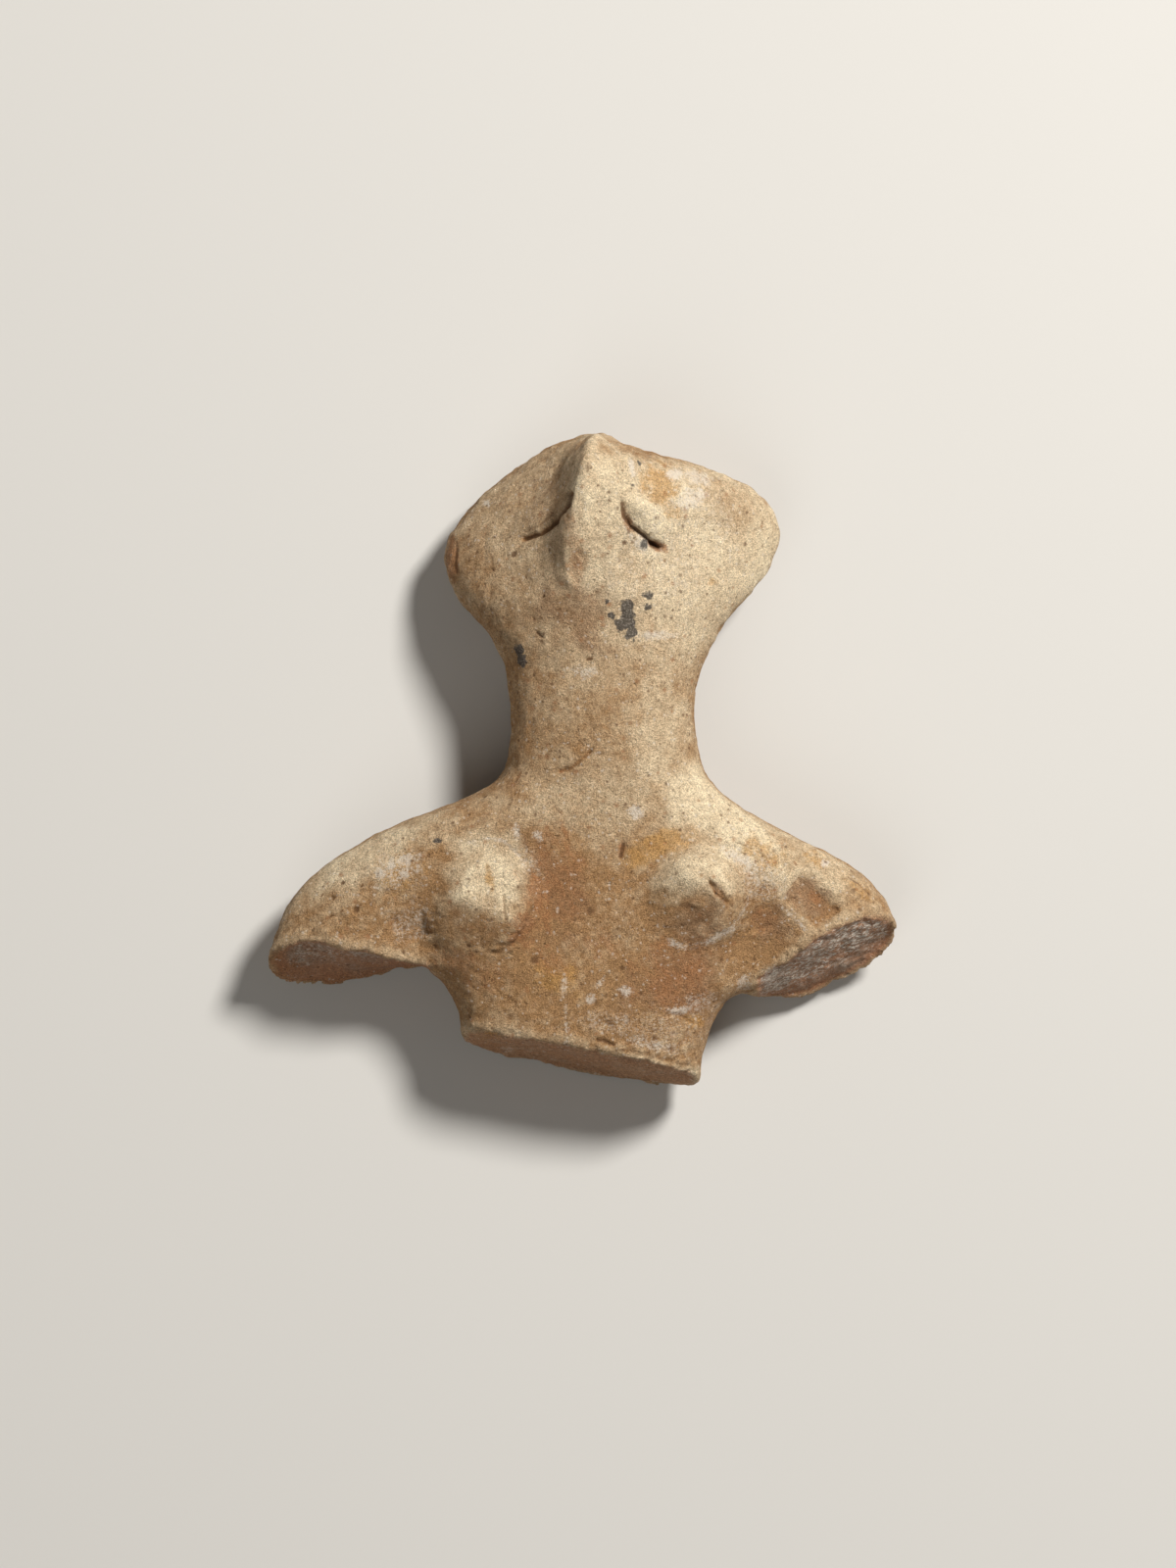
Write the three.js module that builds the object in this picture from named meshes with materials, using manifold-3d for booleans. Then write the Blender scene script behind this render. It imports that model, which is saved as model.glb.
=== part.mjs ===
// Upper half of a small hand-modelled terracotta figurine, lying on its back.
// One lump of fired clay: a fan-shaped head pinched forward into a beak of a nose, a thick neck, sloping
// shoulders with both arms broken off, two pressed-on breasts and a torso broken at the waist.
// Millimetres. +X is the viewer's right, +Y runs up the body to the crown, +Z is the way the figure faces.

import * as THREE from "three";
import { ParametricGeometry } from "three/addons/geometries/ParametricGeometry.js";
import { mergeVertices } from "three/addons/utils/BufferGeometryUtils.js";
import Module from "manifold-3d";

// ---- Driving dimensions ------------------------------------------------------------------------------

// Outline from the front: height up the body, left edge, right edge. It is lopsided, as made by hand.
const OUTLINE = [
  [-2.1, -35.3, 35.2],
  [3.0, -35.3, 35.2],
  [6.8, -34.1, 34.7],
  [9.5, -32.6, 33.3],
  [12.1, -29.9, 30.6],
  [14.7, -26.2, 26.3],
  [17.4, -21.0, 20.6],
  [20.0, -13.9, 16.3],
  [22.7, -9.5, 13.6],
  [26.6, -8.5, 12.5],
  [31.9, -8.5, 12.4],
  [36.0, -9.2, 13.5],
  [39.8, -11.8, 15.6],
  [43.8, -14.9, 19.2],
  [47.6, -15.7, 21.4],
  [50.9, -14.6, 21.8],
  [54.3, -11.6, 19.9],
  [57.0, -8.2, 15.0],
  [58.6, -5.8, 8.8],
  [59.9, -3.5, 4.7],
  [61.0, -0.2, 2.9],
];

// Depth of the body: height, level of the side edge, front of the slab, back of the slab, fullness of the
// section (2 is an ellipse, more is squarer).
const DEPTH = [
  [-14.0, 7.2, 13.8, 0.8, 3.0],
  [-5.0, 7.3, 14.6, 0.5, 2.8],
  [5.0, 7.2, 15.3, -0.1, 2.5],
  [12.0, 7.4, 15.6, -0.35, 2.4],
  [20.0, 8.6, 16.2, 0.3, 2.1],
  [27.0, 9.2, 16.8, 1.3, 2.0],
  [35.0, 9.0, 16.9, 1.3, 2.0],
  [40.0, 8.0, 15.4, 0.5, 2.1],
  [45.0, 6.5, 11.6, -0.2, 2.4],
  [50.0, 5.6, 9.6, -0.35, 2.8],
  [55.0, 5.6, 9.4, 0.1, 2.8],
  [59.0, 6.6, 10.4, 1.8, 2.6],
  [61.0, 8.5, 11.8, 5.5, 2.2],
];

// The face rises like a roof from the rim of the head to the nose: height up the body, rise of the roof.
const FACE_RISE = [
  [35.0, 0.0],
  [39.5, 1.5],
  [42.5, 4.2],
  [46.0, 6.4],
  [50.5, 7.2],
  [56.0, 6.2],
  [59.0, 4.4],
  [61.0, 2.0],
];
const FACE_ROOF_POWER = 1.2;
const RIGHT_CHEEK_RISE = 1.25;
const CHEEK_TURN = 5.0;
const NOSE_X = 0.6;

// Nose, which on its right carries the whole side of the face with it: height up the body, crest sideways,
// crest forward, reach of the left flank, reach of the right flank.
const NOSE = [
  [38.0, -0.7, 14.2, 2.6, 6.0],
  [41.6, -1.0, 17.1, 3.2, 12.3],
  [44.6, -1.6, 19.2, 4.2, 17.5],
  [48.0, -1.8, 20.6, 4.4, 20.6],
  [53.0, -0.8, 21.3, 4.4, 20.5],
  [57.2, 0.0, 20.8, 4.3, 13.9],
  [59.4, 0.6, 19.2, 3.4, 5.5],
  [60.9, 1.3, 16.8, 1.5, 1.2],
];
const NOSE_ROOT_LEVEL = 8.0;
const NOSE_FULLNESS = 1.2;

// Hollow between the chest and each arm: sideways place and width. At its foot it takes a share of the
// body's depth, and it fades out at its top.
const ARMPITS = [
  { x: -18.2, width: 4.4 },
  { x: 19.4, width: 4.2 },
];
const ARMPIT_DEPTH = 0.55;
const ARMPIT_TOP = 13.0;
const ARMPIT_FOOT = -3.0;

// Torso below the armpits: height, left edge, right edge, and what its depth has over the body's.
const TORSO = [
  [-14.0, -13.1, 12.6, 0.0],
  [-9.0, -13.4, 13.2, 0.1],
  [-5.0, -13.9, 14.4, 0.2],
  [-2.4, -14.7, 16.0, 0.25],
  [-0.8, -15.7, 18.9, 0.25],
  [1.6, -17.4, 20.0, 0.2],
  [6.0, -16.2, 18.0, -0.8],
];

// Breasts: foot and tip sideways and up the body, height of the tip above the chest, radius of the foot.
const BREASTS = [
  { foot: [-11.2, 9.3], tip: [-8.9, 7.9], height: 3.7, radius: 7.5 },
  { foot: [12.1, 9.4], tip: [12.7, 10.3], height: 4.7, radius: 6.9 },
];
const BREAST_SINK = 3.0;
const BREAST_SWELL = 1.7;
const BREAST_BLUNTNESS = 0.85;
const BREAST_LEAN = 1.5;

// Eyes: clay pellets pressed into long lenses. Middle, half length, half width, half thickness, slant.
const EYES = [
  { middle: [-4.4, 52.4], length: 4.0, width: 1.2, thickness: 1.2, slant: 46 },
  { middle: [7.2, 51.2], length: 3.3, width: 1.6, thickness: 1.0, slant: -48 },
];
const EYE_SINK = 0.25;

// Breaks, each a rough face: level at its middle, rise along X and along Z, growth of the rise along Z with
// distance from the middle, and the width that it clears away.
const ARM_BREAKS = [
  { level: 1.55, middle: [-27, 7], rise: [0.0, 0.38], twist: -0.04, from: -42, to: -17.2, seed: 1.3 },
  { level: 2.2, middle: [28, 7], rise: [0.47, 0.6], twist: 0.022, from: 18.6, to: 42, seed: 4.1 },
];
const WAIST_BREAK = { level: -9.3, middle: [0, 7], rise: [-0.186, 0.2], twist: 0, from: -20, to: 20, seed: 7.7 };
const WAIST_JOINT = { level: 1.2, middle: [0, 7], rise: [0, 0], twist: 0, from: -18, to: 18.9, seed: 0 };
const BREAK_ROUGHNESS = 0.2;
const BREAK_WAVES = [0.7, 0.55, 1.3, 1.1];
const BREAK_FOOT = -30;
const BREAK_BACK = -4;
const BREAK_FRONT = 26;

// Flakes lost from the surface: middle of the scar, the way it faces, its size, its turn, and how deep it
// bites into the front of the body (a negative bite stays above it, in what stands on the body).
const FLAKES = [
  { middle: [25.4, 8.6], facing: [0.3, 0.12, 1], size: [6.0, 4.4], turn: -50, bite: 0.4 },
  { middle: [13.0, 7.6], facing: [-0.1, -0.5, 1], size: [7.0, 6.6], turn: 0, bite: -2.5 },
];
const FLAKE_THICKNESS = 6;

// Table that the figurine lies on, and how near two points are when they are one.
const TABLE_SIZE = 160;
const TABLE_THICKNESS = 10;
const VERTEX_TOLERANCE = 1e-4;

// Fineness of the solids.
const PROFILE_SAMPLES = 400;
const LOFT_ROWS = 54;
const LOFT_SIDES = 48;
const SMALL_ROWS = 12;
const SMALL_SIDES = 26;
const EYE_SIDES = 16;
const BREAK_STEP = 2.3;

// ---- Curves and fields -------------------------------------------------------------------------------

// A smooth curve through the table's rows, as a function from height to the value in one column.
function profile(table, column) {
  const knots = table.map((row) => new THREE.Vector2(row[0], row[column]));
  const samples = new THREE.SplineCurve(knots).getPoints(PROFILE_SAMPLES);
  return (height) => {
    const above = samples.findIndex((sample) => sample.x >= height);
    if (above <= 0) return above === 0 ? samples[0].y : samples.at(-1).y;
    const low = samples[above - 1];
    const high = samples[above];
    return THREE.MathUtils.mapLinear(height, low.x, high.x, low.y, high.y);
  };
}

const bodyLeft = profile(OUTLINE, 1);
const bodyRight = profile(OUTLINE, 2);
const bodyEdge = profile(DEPTH, 1);
const bodyFront = profile(DEPTH, 2);
const bodyBack = profile(DEPTH, 3);
const bodyFullness = profile(DEPTH, 4);
const faceRise = profile(FACE_RISE, 1);
const noseCrest = profile(NOSE, 1);
const noseLevel = profile(NOSE, 2);
const noseLeft = profile(NOSE, 3);
const noseRight = profile(NOSE, 4);

const signedPower = (value, power) => Math.sign(value) * Math.abs(value) ** power;

// How much of the slab's depth is left at a place: less in the hollow between the chest and each arm.
function depthKept(x, y) {
  const descent = THREE.MathUtils.smoothstep(-y, -ARMPIT_TOP, -ARMPIT_FOOT);
  const hollow = ARMPITS.reduce((sum, pit) => sum + Math.exp(-(((x - pit.x) / pit.width) ** 2)), 0);
  return 1 - ARMPIT_DEPTH * descent * hollow;
}

// The roof of the face: nothing at the rim of the head, all of the rise along the nose.
function roof(x, y) {
  if (y <= FACE_RISE[0][0]) return 0;
  const reach = x < NOSE_X ? NOSE_X - bodyLeft(y) : bodyRight(y) - NOSE_X;
  const share = Math.min(1, Math.abs(x - NOSE_X) / reach);
  const onRight = THREE.MathUtils.smoothstep(x - NOSE_X, -CHEEK_TURN, CHEEK_TURN);
  const rise = faceRise(y) * THREE.MathUtils.lerp(1, RIGHT_CHEEK_RISE, onRight);
  return rise * (1 - share ** FACE_ROOF_POWER);
}

// Share of its full depth that a section has at a place between its edges, -1 and 1: a superellipse.
function swell(across, y) {
  const fullness = bodyFullness(y);
  return Math.max(0, 1 - Math.abs(across) ** fullness) ** (1 / fullness);
}

// Level of the body's front surface at a place.
function frontLevel(x, y) {
  const across = THREE.MathUtils.mapLinear(x, bodyLeft(y), bodyRight(y), -1, 1);
  const slab = (bodyFront(y) - bodyEdge(y)) * swell(across, y) * depthKept(x, y);
  return bodyEdge(y) + slab + roof(x, y);
}

// Level of the face at a place, on the nose or beside it.
function faceLevel(x, y) {
  const aside = x - noseCrest(y);
  const share = Math.min(1, Math.abs(aside) / (aside > 0 ? noseRight(y) : noseLeft(y)));
  const nose = (noseLevel(y) - NOSE_ROOT_LEVEL) * (1 - share ** NOSE_FULLNESS) ** (1 / NOSE_FULLNESS);
  return Math.max(frontLevel(x, y), NOSE_ROOT_LEVEL + nose);
}

// ---- Solids ------------------------------------------------------------------------------------------

// A closed geometry as a solid: vertices merged, and triangles that a pole squeezes to nothing left out.
function solid(geometry) {
  geometry.deleteAttribute("normal");
  geometry.deleteAttribute("uv");
  const merged = mergeVertices(geometry, VERTEX_TOLERANCE);
  const corners = merged.index.array;
  const kept = [];
  for (let i = 0; i < corners.length; i += 3) {
    const [a, b, c] = [corners[i], corners[i + 1], corners[i + 2]];
    if (a !== b && b !== c && c !== a) kept.push(a, b, c);
  }
  const mesh = new wasm.Mesh({
    numProp: 3,
    vertProperties: new Float32Array(merged.attributes.position.array),
    triVerts: new Uint32Array(kept),
  });
  return new wasm.Manifold(mesh);
}

// A skin of rings closed at both ends: ring(share along, share around, target) sets a point of the skin,
// going round anticlockwise as seen from its far end, and each end is drawn in to the middle of its ring.
function skin(ring, rows, sides) {
  const ends = 1 / (rows + 2);
  const middle = new THREE.Vector3();
  const opposite = new THREE.Vector3();
  return new ParametricGeometry((around, along, target) => {
    const share = THREE.MathUtils.clamp((along - ends) / (1 - 2 * ends), 0, 1);
    ring(share, around % 1, target);
    if (along < ends / 2 || along > 1 - ends / 2) {
      ring(share, 0, middle);
      ring(share, 0.5, opposite);
      target.copy(middle.lerp(opposite, 0.5));
    }
  }, sides, rows + 2);
}

// Head, neck, shoulders and arms: flat sections stacked up the body.
function makeBody() {
  const foot = OUTLINE[0][0];
  const crown = OUTLINE.at(-1)[0];
  return solid(skin((along, around, target) => {
    const y = THREE.MathUtils.lerp(foot, crown, along);
    const angle = -2 * Math.PI * around;
    const x = THREE.MathUtils.lerp(bodyLeft(y), bodyRight(y), (1 + Math.cos(angle)) / 2);
    const back = bodyEdge(y) - (bodyEdge(y) - bodyBack(y)) * swell(Math.cos(angle), y) * depthKept(x, y);
    target.set(x, y, Math.sin(angle) > 0 ? frontLevel(x, y) : back);
  }, LOFT_ROWS, LOFT_SIDES));
}

// Torso between the armpits and the break at the waist.
function makeTorso() {
  const left = profile(TORSO, 1);
  const right = profile(TORSO, 2);
  const extra = profile(TORSO, 3);
  return solid(skin((along, around, target) => {
    const y = THREE.MathUtils.lerp(TORSO[0][0], TORSO.at(-1)[0], along);
    const angle = -2 * Math.PI * around;
    const side = Math.sign(Math.sin(angle));
    const depth = extra(y) + (Math.sin(angle) > 0 ? bodyFront(y) - bodyEdge(y) : bodyEdge(y) - bodyBack(y));
    const x = THREE.MathUtils.lerp(left(y), right(y), (1 + Math.cos(angle)) / 2);
    target.set(x, y, bodyEdge(y) + side * depth * swell(Math.cos(angle), y));
  }, SMALL_ROWS, LOFT_SIDES));
}

// Nose: a pinched ridge, steeper on its left flank, from the middle of the face to the crown.
function makeNose() {
  const power = 2 / NOSE_FULLNESS;
  return solid(skin((along, around, target) => {
    const y = THREE.MathUtils.lerp(NOSE[0][0], NOSE.at(-1)[0], along);
    const angle = -2 * Math.PI * around;
    const reach = Math.cos(angle) > 0 ? noseRight(y) : noseLeft(y);
    const height = Math.sin(angle) > 0 ? noseLevel(y) - NOSE_ROOT_LEVEL : 1;
    const x = noseCrest(y) + reach * signedPower(Math.cos(angle), power);
    target.set(x, y, NOSE_ROOT_LEVEL + height * signedPower(Math.sin(angle), power));
  }, SMALL_ROWS * 2, SMALL_SIDES));
}

// Breast: a cone of clay with a rounded tip that leans away from the middle of its foot.
function makeBreast({ foot, tip, height, radius }) {
  const chest = frontLevel(foot[0], foot[1]) - BREAST_SINK;
  return solid(skin((along, around, target) => {
    const climb = Math.sin((along * Math.PI) / 2);
    const lean = climb ** BREAST_LEAN;
    const angle = 2 * Math.PI * around;
    const width = radius * (1 - climb ** BREAST_SWELL) ** BREAST_BLUNTNESS;
    target.set(
      THREE.MathUtils.lerp(foot[0], tip[0], lean) + width * Math.cos(angle),
      THREE.MathUtils.lerp(foot[1], tip[1], lean) + width * Math.sin(angle),
      chest + climb * (height + BREAST_SINK),
    );
  }, SMALL_ROWS, SMALL_SIDES));
}

// Eye: a flattened pellet lying on the slope of the face.
function makeEye({ middle, length, width, thickness, slant }) {
  const [x, y] = middle;
  const step = length / 8;
  const slopeX = (faceLevel(x + step, y) - faceLevel(x - step, y)) / (2 * step);
  const slopeY = (faceLevel(x, y + step) - faceLevel(x, y - step)) / (2 * step);
  const outward = new THREE.Vector3(-slopeX, -slopeY, 1).normalize();
  const upright = new THREE.Vector3(0, 0, 1);
  const lean = new THREE.Quaternion().setFromUnitVectors(upright, outward);
  const turn = new THREE.Quaternion().setFromAxisAngle(upright, THREE.MathUtils.degToRad(slant));
  const place = new THREE.Vector3(x, y, faceLevel(x, y)).addScaledVector(outward, thickness * EYE_SINK);
  const pellet = new THREE.SphereGeometry(1, EYE_SIDES, EYE_SIDES / 2);
  const pose = new THREE.Matrix4();
  pose.compose(place, lean.multiply(turn), new THREE.Vector3(length, width, thickness));
  return solid(pellet.applyMatrix4(pose));
}

// What a break clears away: a box whose upper face is the rough broken face.
function makeBreak({ level, middle, rise, twist, from, to, seed }) {
  const width = to - from;
  const depth = BREAK_FRONT - BREAK_BACK;
  const [across, deep] = [width, depth].map((length) => Math.round(length / BREAK_STEP));
  const box = new THREE.BoxGeometry(width, 1, depth, across, 1, deep);
  box.translate((from + to) / 2, 0, (BREAK_FRONT + BREAK_BACK) / 2);
  const places = box.attributes.position;
  for (let i = 0; i < places.count; i += 1) {
    const x = places.getX(i);
    const z = places.getZ(i);
    const broad = Math.sin(BREAK_WAVES[0] * x + seed) * Math.cos(BREAK_WAVES[1] * z + 2 * seed);
    const fine = Math.sin(BREAK_WAVES[2] * x - seed) * Math.sin(BREAK_WAVES[3] * z + 3 * seed);
    const tilt = rise[1] + twist * (x - middle[0]);
    const plane = level + rise[0] * (x - middle[0]) + tilt * (z - middle[1]);
    const face = plane + BREAK_ROUGHNESS * (broad + fine);
    places.setY(i, places.getY(i) > 0 ? face : BREAK_FOOT);
  }
  return solid(box);
}

// What a lost flake clears away: a flat-bottomed box laid on the surface.
function makeFlake({ middle, facing, size, turn, bite }) {
  const outward = new THREE.Vector3(...facing).normalize();
  const upright = new THREE.Vector3(0, 0, 1);
  const lean = new THREE.Quaternion().setFromUnitVectors(upright, outward);
  const spin = new THREE.Quaternion().setFromAxisAngle(upright, THREE.MathUtils.degToRad(turn));
  const place = new THREE.Vector3(middle[0], middle[1], frontLevel(middle[0], middle[1]));
  place.addScaledVector(outward, FLAKE_THICKNESS / 2 - bite);
  const box = new THREE.BoxGeometry(size[0], size[1], FLAKE_THICKNESS);
  const pose = new THREE.Matrix4().compose(place, lean.multiply(spin), new THREE.Vector3(1, 1, 1));
  return solid(box.applyMatrix4(pose));
}

// What the resting plane clears away: the back is rubbed flat where the figurine lies on a table.
function makeTable() {
  const box = new THREE.BoxGeometry(TABLE_SIZE, TABLE_SIZE, TABLE_THICKNESS);
  return solid(box.translate(0, 0, -TABLE_THICKNESS / 2));
}

// The solid as geometry, its box centred over the origin and standing on it.
function asGeometry(shape) {
  const mesh = shape.getMesh();
  const geometry = new THREE.BufferGeometry();
  geometry.setAttribute("position", new THREE.BufferAttribute(mesh.vertProperties, mesh.numProp));
  geometry.setIndex(new THREE.BufferAttribute(mesh.triVerts, 1));
  geometry.computeBoundingBox();
  const middle = geometry.boundingBox.getCenter(new THREE.Vector3());
  return geometry.translate(-middle.x, -middle.y, -geometry.boundingBox.min.z);
}

// ---- Assembly ----------------------------------------------------------------------------------------

const wasm = await Module();
wasm.setup();

const subtract = (shape, piece) => shape.subtract(piece);
const upper = [...ARM_BREAKS, WAIST_JOINT].map(makeBreak).reduce(subtract, makeBody());
const added = [makeTorso(), makeNose(), ...BREASTS.map(makeBreast), ...EYES.map(makeEye)];
const whole = added.reduce((shape, piece) => shape.add(piece), upper);
const worn = [makeBreak(WAIST_BREAK), ...FLAKES.map(makeFlake), makeTable()].reduce(subtract, whole);

const clay = new THREE.MeshStandardMaterial({ color: 0xb08a62, roughness: 0.9, metalness: 0 });
const bust = new THREE.Mesh(asGeometry(worn), clay);
bust.name = "figurine_bust";

const figurine = new THREE.Group();
figurine.add(bust);

export default figurine;
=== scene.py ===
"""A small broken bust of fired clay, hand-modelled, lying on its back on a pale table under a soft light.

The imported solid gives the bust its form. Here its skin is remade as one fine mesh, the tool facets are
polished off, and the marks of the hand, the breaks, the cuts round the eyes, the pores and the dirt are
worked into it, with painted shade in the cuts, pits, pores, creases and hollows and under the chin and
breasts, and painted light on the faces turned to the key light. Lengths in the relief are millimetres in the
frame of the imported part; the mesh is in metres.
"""

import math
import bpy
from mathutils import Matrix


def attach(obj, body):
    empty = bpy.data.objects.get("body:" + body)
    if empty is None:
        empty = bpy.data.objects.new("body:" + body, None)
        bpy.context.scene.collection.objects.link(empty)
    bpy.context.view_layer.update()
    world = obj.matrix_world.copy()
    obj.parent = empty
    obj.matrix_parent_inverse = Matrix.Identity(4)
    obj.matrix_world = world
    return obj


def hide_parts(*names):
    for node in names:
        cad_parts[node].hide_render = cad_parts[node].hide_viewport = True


bl_info = {
    "name": "Clay Bust Fragment",
    "version": (1, 0, 0),
    "blender": (4, 5, 0),
    "location": "View3D > Sidebar > Clay Bust",
    "description": "Models a hand-made terracotta bust fragment and sets it on a studio table",
    "category": "Object",
}

import bmesh
import bpy
import numpy as np
from mathutils import Vector

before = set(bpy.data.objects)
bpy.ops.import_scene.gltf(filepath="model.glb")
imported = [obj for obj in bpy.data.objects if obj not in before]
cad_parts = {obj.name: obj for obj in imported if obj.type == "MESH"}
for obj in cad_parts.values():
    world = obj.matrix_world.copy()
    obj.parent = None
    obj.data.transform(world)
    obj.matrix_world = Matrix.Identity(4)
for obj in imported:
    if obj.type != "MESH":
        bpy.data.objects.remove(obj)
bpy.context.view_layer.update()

NODE = "figurine_bust"
PIECE = "clay_bust"
BODY = "root"
MM = 0.001

# ---- The broken ends ---------------------------------------------------------------------------------
# Each break is a leaning sheet: its level up the body at its middle, the middle across and in depth, how
# much it climbs across and in depth, how the climb in depth turns across, and from where to where it runs.
BREAKS = {
    "left arm": dict(level=-22.8, middle=(-26.83, 7.0), rise=(0.0, 0.38), twist=-0.04, run=(-42.0, -16.6)),
    "right arm": dict(level=-22.15, middle=(28.17, 7.0), rise=(0.47, 0.6), twist=0.022, run=(19.0, 42.0)),
    "waist": dict(level=-33.65, middle=(0.17, 7.0), rise=(-0.186, 0.2), twist=0.0, run=(-20.0, 20.0)),
}
BREAK_THICKNESS = 0.6
BREAK_FACING = 0.5
# White grains crowd along these lines on the arms' breaks: the ends, the reach and the strength.
GRAIN_LINES = {
    "right arm": ([(20.4, -24.1), (32.7, -17.9)], 2.0, 2.0),
    "left arm": ([(-31.6, -21.4), (-22.6, -20.6)], 1.2, 0.5),
}
# A break is torn from its rim inwards over the first range, and shows its core over the second. The rim
# stands proud over its width, with nicks out of it where their waves pass through their range.
BREAK_REACH = 3.0
BREAK_FADE = (0.0, 0.8)
CORE_FADE = (0.2, 1.3)
RIM_WIDTH = 1.3
RIM_RISE = 0.25
NICK_DEPTH = 0.24
NICK_RANGE = (0.05, 0.6)
# The waist's break is below this, and has taken on more of the skin's colour than the arms' breaks.
WAIST_TOP = -28.0
WAIST_TONE = 0.75
# How much of its stains the skin's colour loses on a break.
BREAK_STAIN_LOSS = 0.4

# ---- Marks cut, cracked or pressed into the front: bends of the line, half width, depth, dirt and painted shade in it ----
CUTS = {
    "left eye, under": (
        [(-1.5, 29.7), (-1.9, 28.3), (-3.3, 26.5), (-4.9, 25.3), (-6.7, 24.8)], 0.34, 0.7, 0.62),
    "left eye, slit": ([(-6.5, 25.6), (-4.9, 26.2), (-3.4, 27.6)], 0.24, 0.22, 0.45),
    "right eye, groove": (
        [(4.5, 28.5), (4.6, 27.2), (5.3, 26.0), (6.5, 25.1), (7.6, 24.2), (8.7, 23.7)], 0.3, 0.6, 0.75),
    "right eye, hole": ([(7.9, 23.9), (8.6, 23.7)], 0.42, 0.8, 1.0),
    "breast crack": ([(-8.8, -14.9), (-8.75, -16.3), (-8.6, -17.6)], 0.16, 0.25, 0.5),
    "left breast, foot": ([(-5.5, -16.2), (-6.3, -18.2), (-7.7, -20.2), (-9.5, -21.3)], 0.3, 0.16, 0.45),
    "left breast, brow": ([(-8.6, -9.2), (-6.9, -10.6), (-5.0, -12.8)], 0.22, 0.14, 0.3),
    "right breast, side of the chip": ([(14.1, -13.4), (14.7, -14.7)], 0.22, 0.28, 0.3),
    "right breast, foot of the chip": ([(14.7, -14.7), (16.1, -15.7)], 0.2, 0.14, 0.3),
    "neck nail mark": ([(0.7, 1.0), (-0.2, 0.2), (-1.4, -0.8), (-2.6, -1.1)], 0.24, 0.36, 0.45),
    "nick above right breast": ([(4.5, -9.2), (4.2, -10.6)], 0.28, 0.2, 0.8),
    "waist gash": ([(1.6, -31.0), (2.4, -31.1), (3.3, -31.5)], 0.24, 0.4, 0.8),
    "waist crease": ([(9.2, -28.2), (10.6, -28.1), (12.3, -29.2)], 0.25, 0.22, 0.5),
    "waist crease, low": ([(5.0, -32.2), (8.2, -32.9), (12.0, -34.0)], 0.35, 0.25, 0.4),
    "head rim crack": ([(-14.2, 24.5), (-14.4, 22.9), (-14.2, 21.2)], 0.18, 0.15, 0.4),
    "wing scratch": ([(13.1, 25.9), (14.3, 25.2)], 0.16, 0.08, 0.3),
    "cheek scratch": ([(-5.2, 14.3), (-4.5, 13.8)], 0.18, 0.14, 0.8),
    "shoulder scratch": ([(17.2, -9.0), (18.9, -9.7), (20.9, -10.9)], 0.16, 0.1, 0.5),
    "right arm crack": ([(29.7, -12.9), (30.9, -13.7), (32.0, -14.9)], 0.14, 0.12, 0.6),
}
REFINE_REACH = 0.8

# ---- Shallow scars, pits and pressed flats on the front: middle, half sizes, turn, depth, dirt and painted shade ---
HOLLOWS = {
    "worn oval on the nose": ((-0.6, 21.5), (1.15, 1.8), -8, 0.3, 0.12),
    "chip on the nose crest": ((0.5, 32.4), (0.3, 0.75), -8, 0.15, 0.6),
    "diamond scar": ((2.5, 28.8), (1.5, 1.3), 45, 0.12, 0.0),
    "pit on the neck": ((0.7, 11.4), (0.3, 0.24), 0, 0.3, 1.0),
    "pit on the left cheek": ((-4.4, 18.3), (0.16, 0.16), 0, 0.2, 1.0),
    "pit under the chin": ((-0.3, 15.0), (0.2, 0.16), 0, 0.2, 0.8),
    "hollow beside the scar": ((20.4, -17.3), (1.5, 2.0), -40, 0.25, 0.3),
    "pit on the left arm": ((-25.3, -16.4), (0.42, 0.3), -20, 0.3, 0.9),
    "pit higher up": ((-24.6, -13.8), (0.22, 0.22), 0, 0.22, 1.0),
    "pit above that": ((-26.9, -13.5), (0.2, 0.2), 0, 0.2, 1.0),
    "pit towards the break": ((-27.9, -15.1), (0.3, 0.2), -20, 0.22, 1.0),
    "pit beside it": ((-29.15, -15.0), (0.26, 0.2), 0, 0.2, 0.9),
    "pit below": ((-28.1, -17.2), (0.32, 0.2), -10, 0.22, 0.8),
    "pit near the arm's break": ((-26.9, -16.6), (0.2, 0.18), 0, 0.18, 0.8),
    "hollow of the left armpit": ((-19.4, -18.4), (2.2, 1.8), 20, 0.25, 0.3),
}

# ---- Scars with straight sides: corners in turn anticlockwise, depth, dirt and painted shade ------------
SCARS = {
    "on the right arm": ([(22.2, -15.5), (26.0, -18.3), (28.6, -16.6), (24.1, -12.6)], 0.34, 0.25),
    "chip on the right breast": ([(13.9, -13.0), (14.6, -14.8), (16.3, -15.9), (15.4, -14.0)], 0.5, 0.3),
}

# ---- Colour on the clay: middle, half sizes, turn, strength --------------------------------------------
SOOT = [
    ((4.95, 17.0), (0.75, 1.05), 20, 1.0),
    ((4.5, 15.3), (0.95, 1.0), 0, 1.0),
    ((5.35, 14.2), (0.75, 0.7), 30, 1.0),
    ((3.15, 16.2), (0.42, 0.4), 0, 0.95),
    ((2.7, 17.6), (0.25, 0.35), 0, 0.9),
    ((7.15, 18.5), (0.75, 0.5), 0, 0.72),
    ((7.2, 17.25), (0.6, 0.5), 0, 0.72),
    ((-7.1, 12.4), (0.6, 0.6), 0, 0.95),
    ((-6.75, 11.3), (0.55, 0.7), 20, 0.9),
    ((-16.2, -8.8), (0.5, 0.3), 20, 0.85),
    ((6.2, 33.1), (0.22, 0.4), 20, 0.85),
    ((5.5, 30.6), (0.4, 0.25), -30, 0.65),
    ((6.6, 24.0), (0.7, 0.7), -40, 0.6),
]
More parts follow.
